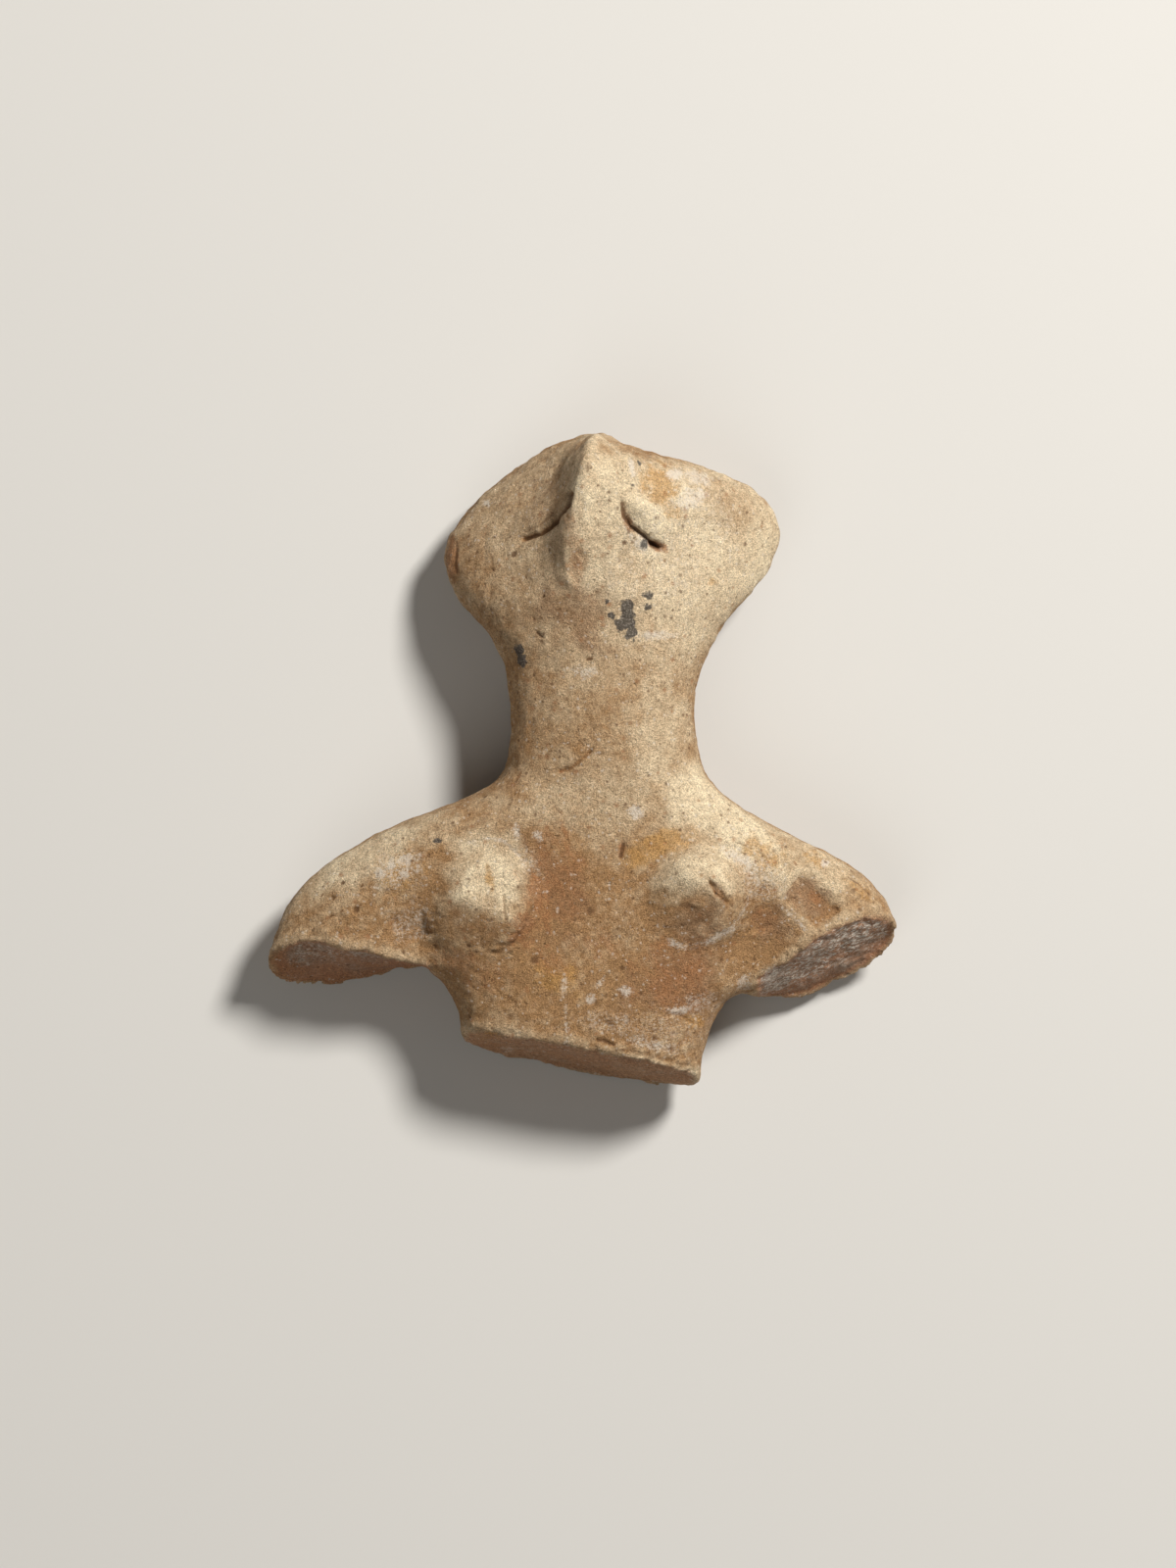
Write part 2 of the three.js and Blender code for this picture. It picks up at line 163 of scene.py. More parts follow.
LIME = [
    ((-19.8, -10.8), (0.75, 0.8), 0, 0.8),
    ((-21.3, -11.6), (0.6, 0.5), 0, 0.75),
    ((-22.6, -12.6), (0.6, 0.7), 30, 0.7),
    ((-19.8, -12.7), (0.7, 0.5), -20, 0.75),
    ((-18.3, -11.9), (0.5, 0.35), 0, 0.6),
    ((-20.6, -12.0), (3.4, 2.6), 30, 0.42),
    ((-19.4, -18.0), (2.6, 2.6), 0, 0.38),
    ((27.1, -11.4), (0.55, 0.4), -30, 0.75),
    ((10.2, 32.0), (0.9, 0.7), 0, 0.85),
    ((12.8, 31.6), (1.6, 0.9), -10, 0.6),
    ((11.9, 29.4), (1.9, 1.2), 20, 0.58),
    ((5.4, 32.6), (0.35, 1.2), 10, 0.8),
    ((6.6, 24.1), (0.75, 0.9), 30, 0.7),
    ((-10.9, 29.1), (0.45, 0.4), 0, 0.7),
    ((0.85, -26.4), (0.55, 0.55), 0, 0.7),
    ((4.7, -25.5), (0.8, 0.6), 0, 0.6),
    ((-2.1, -25.0), (0.45, 1.2), 0, 0.55),
    ((1.9, -24.6), (0.3, 0.9), -35, 0.55),
    ((-4.95, -8.3), (0.5, 0.8), 20, 0.6),
    ((-7.4, -7.8), (0.45, 0.9), 0, 0.6),
    ((-6.0, -11.0), (1.2, 3.0), 30, 0.3),
    ((3.0, -29.0), (5.0, 1.4), -8, 0.32),
    ((13.0, -27.0), (2.6, 1.6), 0, 0.35),
    ((9.0, -29.6), (6.0, 2.6), -10, 0.28),
    ((15.6, -29.5), (2.0, 3.0), 0, 0.35),
    ((20.0, -13.0), (2.4, 3.4), 20, 0.36),
    ((10.0, 24.0), (9.0, 8.0), 0, 0.25),
    ((5.9, -5.6), (0.9, 0.7), 0, 0.65),
    ((17.9, -24.6), (1.0, 0.8), 30, 0.55),
    ((21.0, -23.8), (1.4, 1.0), 30, 0.45),
    ((17.6, -10.9), (2.4, 0.8), -35, 0.6),
    ((15.4, -19.2), (2.4, 0.5), 28, 0.55),
    ((10.6, -20.4), (1.6, 0.5), -15, 0.5),
    ((10.6, -27.7), (1.4, 0.5), 0, 0.65),
    ((7.6, -31.5), (3.4, 0.8), -14, 0.45),
    ((-8.5, -32.3), (0.9, 0.5), 0, 0.6),
    ((8.6, 14.0), (2.6, 0.6), 0, 0.5),
    ((0.2, 9.9), (1.8, 0.8), 0, 0.5),
]
# Pale lines: bends of the line, half width, strength.
PALE_LINES = [
    ([(-1.85, -26.9), (-1.8, -29.2), (-1.75, -31.6)], 0.2, 0.66),
    ([(-12.9, -9.1), (-11.0, -8.6), (-9.2, -8.65), (-7.2, -10.3), (-5.9, -12.3)], 0.26, 0.5),
    ([(9.4, -19.6), (11.4, -20.5), (13.6, -20.0), (16.7, -18.4), (18.5, -15.6), (18.8, -12.0)], 0.3, 0.4),
    ([(22.0, -16.0), (25.0, -18.9)], 0.3, 0.5),
    ([(4.6, 26.0), (5.6, 24.6), (7.2, 23.2)], 0.3, 0.5),
]
OCHRE = [
    ((8.6, 30.6), (2.0, 2.3), 20, 0.8),
    ((10.0, 27.8), (1.4, 1.0), -20, 0.55),
    ((8.8, -9.0), (3.2, 1.6), 15, 0.8),
    ((6.0, -10.8), (1.6, 1.3), 0, 0.75),
    ((-10.4, -12.9), (0.5, 1.5), 10, 0.8),
    ((-10.4, -31.0), (1.8, 0.8), -6, 0.9),
    ((19.9, -10.2), (3.0, 1.8), -30, 0.6),
    ((-3.0, -24.0), (3.0, 1.8), -20, 0.6),
    ((-20.6, -12.2), (3.4, 2.2), 30, 0.62),
    ((26.0, -11.0), (1.6, 0.9), -30, 0.6),
    ((31.0, -14.4), (2.0, 0.7), -40, 0.5),
    ((12.4, -28.9), (1.3, 1.0), -30, 0.6),
    ((14.5, 20.0), (0.6, 0.5), 0, 0.6),
]
RUST = [
    ((-2.4, -13.5), (4.2, 6.4), 25, 0.5),
    ((-4.8, -15.6), (0.9, 3.6), 15, 0.75),
    ((-1.6, -9.6), (0.7, 2.6), 20, 0.6),
    ((-3.6, -22.4), (2.4, 1.4), -30, 0.5),
    ((2.6, -19.6), (3.0, 3.0), 0, 0.4),
    ((-6.6, -18.6), (1.5, 2.6), -40, 0.8),
    ((4.3, -9.8), (0.5, 1.0), -10, 0.8),
    ((-14.8, 22.8), (0.9, 2.4), 0, 0.85),
    ((-10.8, -23.6), (3.0, 2.4), 0, 0.45),
    ((-14.2, -22.2), (3.0, 1.6), -10, 0.55),
    ((-0.6, 21.5), (1.2, 1.9), -8, 0.62),
    ((-9.0, -32.8), (4.4, 1.3), -12, 0.85),
    ((11.0, -36.2), (4.0, 1.2), -12, 0.5),
    ((-1.3, 25.6), (0.8, 3.4), 10, 0.5),
    ((5.0, 26.4), (0.5, 1.4), 20, 0.7),
    ((8.4, 23.8), (1.2, 0.5), -20, 0.8),
    ((-5.4, 27.2), (1.6, 0.8), 40, 0.4),
    ((20.2, -17.9), (1.6, 1.8), 0, 0.45),
    ((25.0, -15.2), (2.6, 2.0), -40, 0.42),
    ((10.4, -24.0), (4.6, 4.6), 0, 0.62),
    ((-33.5, -23.2), (2.4, 2.0), 0, 0.9),
    ((-27.6, -25.2), (6.0, 1.0), 10, 0.8),
]
# Where the clay is paler: partly bleached clay, partly painted light on the faces turned towards the key
# light, on the right of the head, neck and shoulder and on the tops of the breasts.
PALE_AND_LIT = [
    ((10.5, 25.0), (12.5, 12.5), 0, 1.0),
    ((2.5, 27.0), (3.5, 9.0), 0, 0.9),
    ((3.0, 12.0), (8.5, 7.0), 0, 0.4),
    ((1.5, -4.5), (9.0, 4.5), 0, 0.5),
    ((-11.0, -12.8), (4.6, 3.6), -30, 1.0),
    ((12.6, -11.8), (4.8, 3.0), 0, 0.8),
    ((27.0, -11.5), (5.0, 4.6), -30, 0.55),
    ((-24.0, -9.5), (8.0, 3.6), 32, 0.75),
    ((-8.0, 27.0), (8.0, 8.0), 0, 0.4),
    ((0.5, 4.0), (7.5, 6.0), 0, 0.2),
    ((2.0, -34.2), (14.0, 1.6), -9, 0.5),
    ((15.5, -6.0), (8.5, 4.6), -32, 1.15),
    ((8.6, 5.0), (3.4, 10.0), 0, 0.7),
    ((5.5, 16.5), (6.0, 4.0), 0, 0.6),
]

# Where the clay is a deeper brown: partly darker clay, partly painted shade under the chin, under and between
# the breasts, beside the nose and in the chip on the right breast.
DEEP_BROWN_AND_SHADE = [
    ((10.6, -24.6), (5.4, 4.6), 10, 0.8),
    ((12.4, -17.6), (3.4, 2.2), 8, 0.7),
    ((-12.6, -18.2), (5.0, 2.0), -26, 0.35),
    ((-3.2, -13.6), (2.6, 5.4), 30, 0.7),
    ((-2.0, -19.0), (4.0, 3.0), 0, 0.35),
    ((20.8, -18.0), (2.8, 1.8), -45, 0.75),
    ((25.3, -15.4), (3.0, 1.8), -40, 0.85),
    ((-3.6, 31.0), (3.0, 3.4), -30, 0.35),
    ((2.5, 28.8), (1.3, 1.2), 45, 0.35),
    ((-5.0, 20.0), (3.0, 4.0), 0, 0.25),
    ((-3.0, 26.0), (1.6, 5.0), 10, 0.4),
    ((-0.8, 16.0), (5.4, 4.0), 0, 0.62),
    ((15.1, -14.6), (1.4, 0.6), -50, 0.8),
    ((-27.0, -24.6), (8.0, 1.2), 8, 0.6),
]

# ---- Joins of the pressed-on clay, smoothed by a wet finger: bends of the line and reach ---------------
SMOOTHED_LINES = {
    "under the cheek": ([(0.5, 17.5), (6.0, 20.5), (12.0, 23.0), (18.5, 26.5)], 4.0, 1.0),
    "under the nose": ([(-1.5, 18.5), (0.5, 18.0)], 2.2, 0.6),
    "left edge of the nose": ([(-4.0, 25.0), (-4.0, 20.6), (-2.4, 18.0)], 2.0, 0.85),
    "top of the left eye": ([(-6.1, 27.0), (-5.4, 28.6), (-3.9, 29.8)], 1.1, 0.7),
    "crest of the nose": ([(-1.6, 25.6), (-1.9, 22.0), (-1.0, 19.0)], 1.3, 0.35),
    "chest to torso": ([(-16.0, -23.2), (16.0, -23.2)], 2.5, 0.8),
}
# Joins round a breast: middle, radius, reach, share.
SMOOTHED_RINGS = {
    "left breast": ((-11.0, -15.0), 5.9, 1.4, 0.35),
    "right breast": ((12.3, -15.0), 5.4, 1.6, 0.3),
    "tip of the left breast": ((-9.4, -16.2), 0.0, 1.5, 0.3),
    "tip of the right breast": ((12.6, -13.4), 0.0, 2.4, 0.12),
}
SMOOTHING_ROUNDS = 130
# Rims and edges worn round, undersides and all: bends of the line, reach and share.
WORN_EDGES = {
    "waist": ([(-13.6, -31.0), (-8.0, -31.6), (-2.0, -32.2), (5.0, -33.6), (12.6, -35.4)], 1.3, 0.3),
    "right armpit": ([(18.0, -25.4), (18.6, -23.6)], 1.3, 0.9),
    "foot of the left breast": ([(-17.9, -15.5), (-17.6, -18.0), (-16.2, -20.0), (-13.5, -21.4)], 1.5, 0.7),
    "left eye": ([(-6.95, 25.8), (-6.6, 28.0), (-5.5, 29.7), (-3.6, 30.6)], 0.8, 0.8),
}

# ---- Flats worn or pressed onto what stands up: the oval that each reaches over (middle, half sizes, turn),
# a place that its plane passes through, and the way that it faces.
FLATS = {
    "end of the nose": ((-0.9, 21.2), (2.4, 3.0), -8, (-0.8, 21.5, 19.2), (-0.2, -0.35, 1.0)),
    "crest of the nose": ((-1.0, 26.4), (2.2, 3.6), 8, (-1.2, 26.5, 20.5), (-0.22, 0.0, 1.0)),
    "under the left breast": ((-11.2, -15.0), (6.6, 7.2), 0, (-6.9, -18.3, 17.5), (-0.3, -0.4, 1.0)),
    "over the left breast": ((-11.2, -15.0), (6.6, 7.2), 0, (-6.9, -18.3, 17.5), (0.02, 0.2, 1.0)),
    "under the right breast": ((12.6, -14.8), (6.4, 6.6), 0, (12.6, -13.3, 18.3), (-0.26, -0.38, 1.0)),
    "over the right breast": ((12.6, -14.8), (6.4, 6.6), 0, (12.6, -13.3, 18.3), (0.18, 0.27, 1.0)),
}
# Clay pressed up beside the nose: middle, half sizes, turn, height, and the level that it fades out below.
CHEEK_FILL = ((-4.0, 22.4), (2.6, 4.6), 8, 1.1, 19.0)
# Where the skin has crept and torn into small wrinkles: middle, half sizes, turn, strength.
WRINKLED = [
    ((6.5, -30.6), (8.0, 3.2), -12, 1.0),
    ((-19.4, -18.0), (3.0, 3.2), 0, 1.0),
    ((19.6, -16.4), (2.8, 3.6), -10, 0.8),
    ((-6.0, -20.0), (3.2, 2.6), 0, 0.6),
    ((-8.0, -27.0), (6.0, 3.0), -10, 0.5),
    ((-24.5, -18.4), (5.0, 2.6), -10, 0.6),
    ((25.4, -15.4), (3.0, 2.2), -40, 0.6),
    ((12.9, -17.6), (3.4, 3.0), 0, 0.7),
]
WRINKLE_HEIGHT = 0.18

# ---- How the skin is worked -----------------------------------------------------------------------------
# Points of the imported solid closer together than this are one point, in metres.
SAME_POINT = 1e-6
# Each round of polish goes this share of the way in and then out again. It falls to the rim's share at a
# break's rim, over a range of distances from it; the arms' rims are the ones farther out than ARM_START.
POLISH_STEPS = (0.5, -0.52)
RIM_REACH = 1.5
POLISH_FADE = (0.2, 1.3)
ARM_START = 16.5
ARM_RIM_POLISH = 0.12
WAIST_RIM_POLISH = 0.5
# The insides of the breaks are smoothed from their rims inwards over this range.
INSIDE_FADE = (0.3, 1.3)
# Joins are smoothed, and marks made, in full where the skin faces the front at least this squarely.
JOIN_FACING = 0.4
MARK_FACING = 0.35
# A flat fades out over this range of shares of its oval, and the cheek's clay over this much height.
FLAT_FADE = (0.7, 1.3)
CHEEK_FADE = 2.0
# How high the crusts stand, how lumpy they are, and how high the white specks stand.
CRUST_RISE = 0.05
CRUST_LUMPS = 0.1
LIME_RISE = 0.03
# The relief fades out over this range of heights above the table.
TABLE_FADE = (0.15, 1.2)
# How many times the skin is rubbed to find its hollows and ridges.
RUBBING_ROUNDS = 30
# Turns the chest so that its strokes slant.
CHEST_SLANT = np.array([[0.82, 0.57, 0], [-0.57, 0.82, 0], [0, 0, 1]])
# How deep the fine grain's bump is, in millimetres.
GRAIN_BUMP = 0.17

# ---- Waves that the relief is made of: share, size, shift -------------------------------------------------
SWELLINGS = [(0.7, 8.0, 0.0), (0.45, 3.8, 5)]
LUMPS = [(0.8, 1.9, 9), (0.5, 1.1, 2)]
SAND = [(1.0, 0.62, 7)]
TORN_CLAY = [(1.0, 1.3, 1), (0.7, 0.66, 3), (2.2, 4.2, 6)]
RIM_NICKS = [(1.0, 2.1, 12), (0.3, 0.8, 2)]
EDGE_CRUMBS = [(0.16, 2.6, 31), (0.1, 1.2, 33)]
CORE_CLOUDS = [(0.5, 3.0, 27)]
# How far the edges of the marks wander.
WANDER = [(0.12, 0.9, 21)]
# Where the skin is rougher: what lies in this range of its own waves.
ROUGH_LAYERS = [(1.0, 9.0, 3.1)]
ROUGH_PATCH = (-0.2, 0.6)

NOISE_CELLS = 32
NOISE_SEED = 11
WAVE_GAIN = 1.8
MASK_NAMES = (
    "broken", "core", "crystals", "dirt_and_shade", "sunk", "proud", "pale", "deep", "ochre", "rust", "soot", "lime")

# ---- The lights: place, size and colour --------------------------------------------------------------------
KEY_LIGHT = ((0.42, 0.46, 0.66), 0.2, (1.0, 0.97, 0.92))
FILL_LIGHT = ((-0.28, -0.5, 0.7), 0.7, (1.0, 0.96, 0.9))
SURROUND_COLOUR = (1.0, 0.96, 0.9)


# ---- Settings a user would change ------------------------------------------------------------------------


class BustSkin(bpy.types.PropertyGroup):
    """How fine the skin is, and how deep the marks of making and wear go."""

    mesh_size: bpy.props.FloatProperty(
        name="Mesh size", description="Side of the small squares that the skin is remade of",
        default=0.00035, min=0.0002, unit="LENGTH", precision=5)
    polish_rounds: bpy.props.IntProperty(
        name="Polish rounds", description="How many times the skin is rubbed smooth", default=40, min=0)
    unevenness: bpy.props.FloatProperty(
        name="Unevenness", description="Height of the broad swellings left by the fingers",
        default=0.0002, unit="LENGTH", precision=5)
    lumps: bpy.props.FloatProperty(
        name="Lumps", description="Height of the small lumps in the clay",
        default=0.00008, unit="LENGTH", precision=5)
    grain: bpy.props.FloatProperty(
        name="Grain", description="Height of the sandy grain of the surface",
        default=0.000045, unit="LENGTH", precision=5)
    strokes: bpy.props.FloatProperty(
        name="Strokes", description="Height of the smoothing strokes", default=0.00005,
        unit="LENGTH", precision=5)
    pores: bpy.props.FloatProperty(
        name="Pores", description="Depth of the scattered pores", default=0.00016,
        unit="LENGTH", precision=5)
    break_grain: bpy.props.FloatProperty(
        name="Break grain", description="Height of the rough grain on the broken ends",
        default=0.00013, unit="LENGTH", precision=5)


class BustColours(bpy.types.PropertyGroup):
    """The colours of the fired clay, of what time has left on it, and of the painted light and shade laid on
    it.
    """

    # Buff is also the painted light on the faces turned towards the key light, where the pale mask puts it.
    buff: bpy.props.FloatVectorProperty(
        name="Buff", description="The bleached, worn clay", subtype="COLOR", size=3,
        default=(0.84, 0.7, 0.485))
    # Brown is also the painted shade in the hollows, where the sunk mask pushes the colour.
    brown: bpy.props.FloatVectorProperty(
        name="Brown", description="The clay where it is sheltered", subtype="COLOR", size=3,
        default=(0.39, 0.222, 0.1))
    # Deep brown is also the painted shade under the chin, under and between the breasts and beside the nose.
    deep: bpy.props.FloatVectorProperty(
        name="Deep brown", description="The clay where it was fired darker", subtype="COLOR", size=3,
        default=(0.27, 0.145, 0.075))
    fracture: bpy.props.FloatVectorProperty(
        name="Fracture", description="The broken clay near the skin", subtype="COLOR", size=3,
        default=(0.47, 0.225, 0.12))
    core: bpy.props.FloatVectorProperty(
        name="Core", description="The inside of the clay on the broken ends", subtype="COLOR", size=3,
        default=(0.4, 0.27, 0.195))
    # Dirt is also the painted shade in the cuts, pits, pores and creases.
    dirt_and_shade: bpy.props.FloatVectorProperty(
        name="Dirt", description="Soil left in cuts and pores", subtype="COLOR", size=3,
        default=(0.13, 0.062, 0.027))
    ochre: bpy.props.FloatVectorProperty(
        name="Ochre", description="Yellow stains", subtype="COLOR", size=3, default=(0.52, 0.28, 0.085))
    rust: bpy.props.FloatVectorProperty(
        name="Rust", description="Red-brown stains", subtype="COLOR", size=3, default=(0.38, 0.17, 0.07))
    soot: bpy.props.FloatVectorProperty(
        name="Soot", description="Dark grey crusts", subtype="COLOR", size=3, default=(0.055, 0.05, 0.047))
    lime: bpy.props.FloatVectorProperty(
        name="Lime", description="White specks", subtype="COLOR", size=3, default=(0.86, 0.78, 0.68))


class StudioSettings(bpy.types.PropertyGroup):
    """The table, the lights and the camera."""

    table_colour: bpy.props.FloatVectorProperty(
        name="Table colour", description="Colour of the plain table", subtype="COLOR", size=3,
        default=(0.62, 0.61, 0.59))
    table_width: bpy.props.FloatProperty(
        name="Table width", description="Side of the table", default=4.0, unit="LENGTH")
    view_height: bpy.props.FloatProperty(
        name="View height", description="Length of table that the picture covers, top to bottom",
        default=0.176, unit="LENGTH", precision=4)
    camera_height: bpy.props.FloatProperty(
        name="Camera height", description="How high the camera hangs over the bust", default=0.8,
        unit="LENGTH")
    camera_aim: bpy.props.FloatVectorProperty(
        name="Camera aim", description="The place that the camera looks straight down at", size=3,
        default=(0.00055, -0.0025, 0.008), subtype="TRANSLATION", precision=5)
    key_power: bpy.props.FloatProperty(
        name="Key power", description="Strength of the main light in watts", default=11.1, unit="POWER")
    fill_power: bpy.props.FloatProperty(
        name="Fill power", description="Strength of the wide light opposite in watts", default=1.5,
        unit="POWER")
    surround: bpy.props.FloatProperty(
        name="Surround", description="Strength of the even light from all round", default=0.1)


# ---- Clay surface, worked out as whole arrays ------------------------------------------------------------


class Noise:
    """Seeded random fields that the relief is built from."""

    def __init__(self, seed):
        rng = np.random.default_rng(seed)
        arrows = rng.normal(size=(NOISE_CELLS,) * 3 + (3,))
        self.arrows = arrows / np.linalg.norm(arrows, axis=-1, keepdims=True)
        self.seeds = rng.random((NOISE_CELLS,) * 3 + (4,))

    def waves(self, points, size, shift=0.0):
        """Smooth hills and dips from about -1 to 1, size millimetres apart. Each corner of a cubic lattice
        holds a random arrow; a point takes each corner's arrow dotted with its distance from that corner,
        blended by the curve 6t^5 - 15t^4 + 10t^3 along each axis."""
        place = points / size + shift
        cell = np.floor(place).astype(int)
        t = place - cell
        fade = t * t * t * (t * (6 * t - 15) + 10)
        total = np.zeros(len(points))
        for corner in np.ndindex(2, 2, 2):
            step = np.array(corner)
            at = (cell + step) % NOISE_CELLS
            arrow = self.arrows[at[:, 0], at[:, 1], at[:, 2]]
            share = np.prod(np.where(step, fade, 1 - fade), axis=1)
            total += share * np.einsum("ij,ij->i", arrow, t - step)
        return WAVE_GAIN * total

    def mixed(self, points, layers):
        """The sum of layers of waves, each times its own share."""
        return sum(share * self.waves(points, size, shift) for share, size, shift in layers)

    def spots(self, points, size, share, shift=0.0):
        """Round dots that are 1 in the middle and 0 from the rim out. Each cell of a cubic lattice, size
        millimetres wide, holds one dot at a random place if its random draw is below share, with a radius
        of 0.15 to 0.45 of the cell; a point takes the deepest of the dots in the 27 cells round it."""
        place = points / size + shift
        cell = np.floor(place).astype(int)
        best = np.zeros(len(points))
        for corner in np.ndindex(3, 3, 3):
            at = cell + np.array(corner) - 1
            seed = self.seeds[tuple((at % NOISE_CELLS).T)]
            far = np.linalg.norm(place - at - seed[:, :3], axis=1)
            radius = 0.15 + 0.3 * (seed[:, 3] / share)
            dot = np.where(seed[:, 3] < share, np.clip(1 - (far / radius) ** 2, 0, 1), 0)
            best = np.maximum(best, dot)
        return best


def smooth_step(low, high, value):
    """0 below low, 1 above high, and 3t^2 - 2t^3 between."""
    t = np.clip((value - low) / (high - low), 0, 1)
    return t * t * (3 - 2 * t)


def bell(away):
    """1 in the middle, falling off to either side as e to the power of minus away squared."""
    return np.exp(-(away ** 2))


def line_distance(points, bends):
    """Distance in plan from each point to a bent line: the least of the distances to its straight parts."""
    best = np.full(len(points), np.inf)
    for start, end in zip(np.array(bends[:-1]), np.array(bends[1:])):
        along = end - start
        t = np.clip((points[:, :2] - start) @ along / (along @ along), 0, 1)
        best = np.minimum(best, np.linalg.norm(points[:, :2] - start - t[:, None] * along, axis=1))
    return best


def oval_distance(points, middle, half, turn):
    """Distance in plan from the middle of a turned oval, as a share of its own half sizes: 1 on its rim."""
    angle = math.radians(turn)
    dx, dy = points[:, 0] - middle[0], points[:, 1] - middle[1]
    u = dx * math.cos(angle) + dy * math.sin(angle)
    v = dy * math.cos(angle) - dx * math.sin(angle)
    return np.hypot(u / half[0], v / half[1])


def corner_depth(points, corners):
    """Distance in plan inwards from the sides of a corner-to-corner outline, negative outside it: the least
    of the distances from its sides' lines."""
    best = np.full(len(points), np.inf)
    for start, end in zip(np.array(corners), np.roll(corners, -1, axis=0)):
        along = (end - start) / np.linalg.norm(end - start)
        inward = np.array([-along[1], along[0]])
        best = np.minimum(best, (points[:, :2] - start) @ inward)
    return best


def smoothed_share(points):
    """How much of the wet finger's smoothing each point gets: the most of the bells round the joins."""
    best = np.zeros(len(points))
    for bends, reach, share in SMOOTHED_LINES.values():
        best = np.maximum(best, share * bell(line_distance(points, bends) / reach))
    for middle, radius, reach, share in SMOOTHED_RINGS.values():
        away = np.hypot(points[:, 0] - middle[0], points[:, 1] - middle[1]) - radius
        best = np.maximum(best, share * bell(away / reach))
    return best


def worn_share(points):
    """How much each point gets of the wear on the edges: the most of the bells round them."""
    best = np.zeros(len(points))
    for bends, reach, share in WORN_EDGES.values():
        best = np.maximum(best, share * bell(line_distance(points, bends) / reach))
    return best


def break_offset(points, level, middle, rise, twist, run):
    """How far in front of a break's sheet each point lies along the body, and the way that the sheet faces.
    The sheet is y = level + rise_x (x - middle_x) + (rise_z + twist (x - middle_x)) (z - middle_z)."""
    x, z = points[:, 0] - middle[0], points[:, 2] - middle[1]
    lean = rise[1] + twist * x
    offset = points[:, 1] - (level + rise[0] * x + lean * z)
    facing = np.stack([rise[0] + twist * z, -np.ones(len(x)), lean], 1)
    facing /= np.linalg.norm(facing, axis=1, keepdims=True)
    offset[(points[:, 0] < run[0]) | (points[:, 0] > run[1])] = np.inf
    return offset, facing


def on_breaks(points, normals):
    """Which points lie on a broken end: close to its sheet and facing the same way."""
    broken = np.zeros(len(points), bool)
    for sheet in BREAKS.values():
        offset, facing = break_offset(points, **sheet)
        along = np.einsum("ij,ij->i", normals, facing)
        broken |= (np.abs(offset) < BREAK_THICKNESS) & (along > BREAK_FACING)
    return broken


class Skin:
    """A mesh held as arrays: points in millimetres, and the pairs of points that its edges join."""

    def __init__(self, mesh):
        self.mesh = mesh
        count = len(mesh.vertices)
        points = np.empty(count * 3, np.float32)
        mesh.vertices.foreach_get("co", points)
        self.points = points.reshape(-1, 3).astype(float) / MM
        pairs = np.empty(len(mesh.edges) * 2, np.int32)
        mesh.edges.foreach_get("vertices", pairs)
        self.start, self.end = pairs.reshape(-1, 2).T
        self.ways = np.bincount(self.start, minlength=count) + np.bincount(self.end, minlength=count)

    def spread(self, values):
        """The mean of each point's neighbours: every edge hands each end's value to the other end."""
        count = len(self.points)
        total = np.bincount(self.start, values[self.end], count)
        total = total + np.bincount(self.end, values[self.start], count)
        return total / np.maximum(self.ways, 1)

    def spread_points(self, points):
        """The mean place of each point's neighbours."""
        return np.stack([self.spread(points[:, k]) for k in range(3)], 1)

    def polish(self, rounds, share):
        """Rubs facets off without shrinking the form: each round moves a point towards the mean of its
        neighbours by 0.5 of the way and then away from the new mean by 0.52, times its share."""
        for _ in range(rounds):
            for step in POLISH_STEPS:
                self.points += step * share[:, None] * (self.spread_points(self.points) - self.points)

    def soften(self, rounds, share):
        """Draws each point a share of half the way to the mean of its neighbours, round after round, which
        fills creases and rounds ridges."""
        for _ in range(rounds):
            self.points += 0.5 * share[:, None] * (self.spread_points(self.points) - self.points)

    def rim_distance(self, inside, reach):
        """Distance along the edges from where inside changes, grown edge by edge, and no more than reach."""
        far = np.full(len(self.points), float(reach))
        crossing = inside[self.start] != inside[self.end]
        far[self.start[crossing]] = far[self.end[crossing]] = 0
        length = np.linalg.norm(self.points[self.start] - self.points[self.end], axis=1)
        for _ in range(math.ceil(2 * reach / np.median(length))):
            np.minimum.at(far, self.start, far[self.end] + length)
            np.minimum.at(far, self.end, far[self.start] + length)
        return far

    def store(self):
        """Puts the points back into the mesh, in metres."""
        self.mesh.vertices.foreach_set("co", (self.points * MM).astype(np.float32).ravel())
        self.mesh.update()

    def normals(self):
        """The way that the skin faces at each point."""
        self.store()
        values = np.empty(len(self.points) * 3, np.float32)
        self.mesh.vertices.foreach_get("normal", values)
        return values.reshape(-1, 3).astype(float)


def remade_skin(node, mesh_size):
    """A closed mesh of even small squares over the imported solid: its loose triangles are joined up, and the
    solid is sampled on a cubic grid of that size."""
    mesh = node.data.copy()
    joined = bmesh.new()
    joined.from_mesh(mesh)
    bmesh.ops.remove_doubles(joined, verts=joined.verts, dist=SAME_POINT)
    joined.to_mesh(mesh)
    joined.free()
    holder = bpy.data.objects.new("skin_source", mesh)
    bpy.context.scene.collection.objects.link(holder)
    remesh = holder.modifiers.new("Even squares", "REMESH")
    remesh.mode = "VOXEL"
    remesh.voxel_size = mesh_size
    view = bpy.context.evaluated_depsgraph_get()
    made = bpy.data.meshes.new_from_object(holder.evaluated_get(view))
    bpy.data.objects.remove(holder)
    bpy.data.meshes.remove(mesh)
    made.name = PIECE
    return made


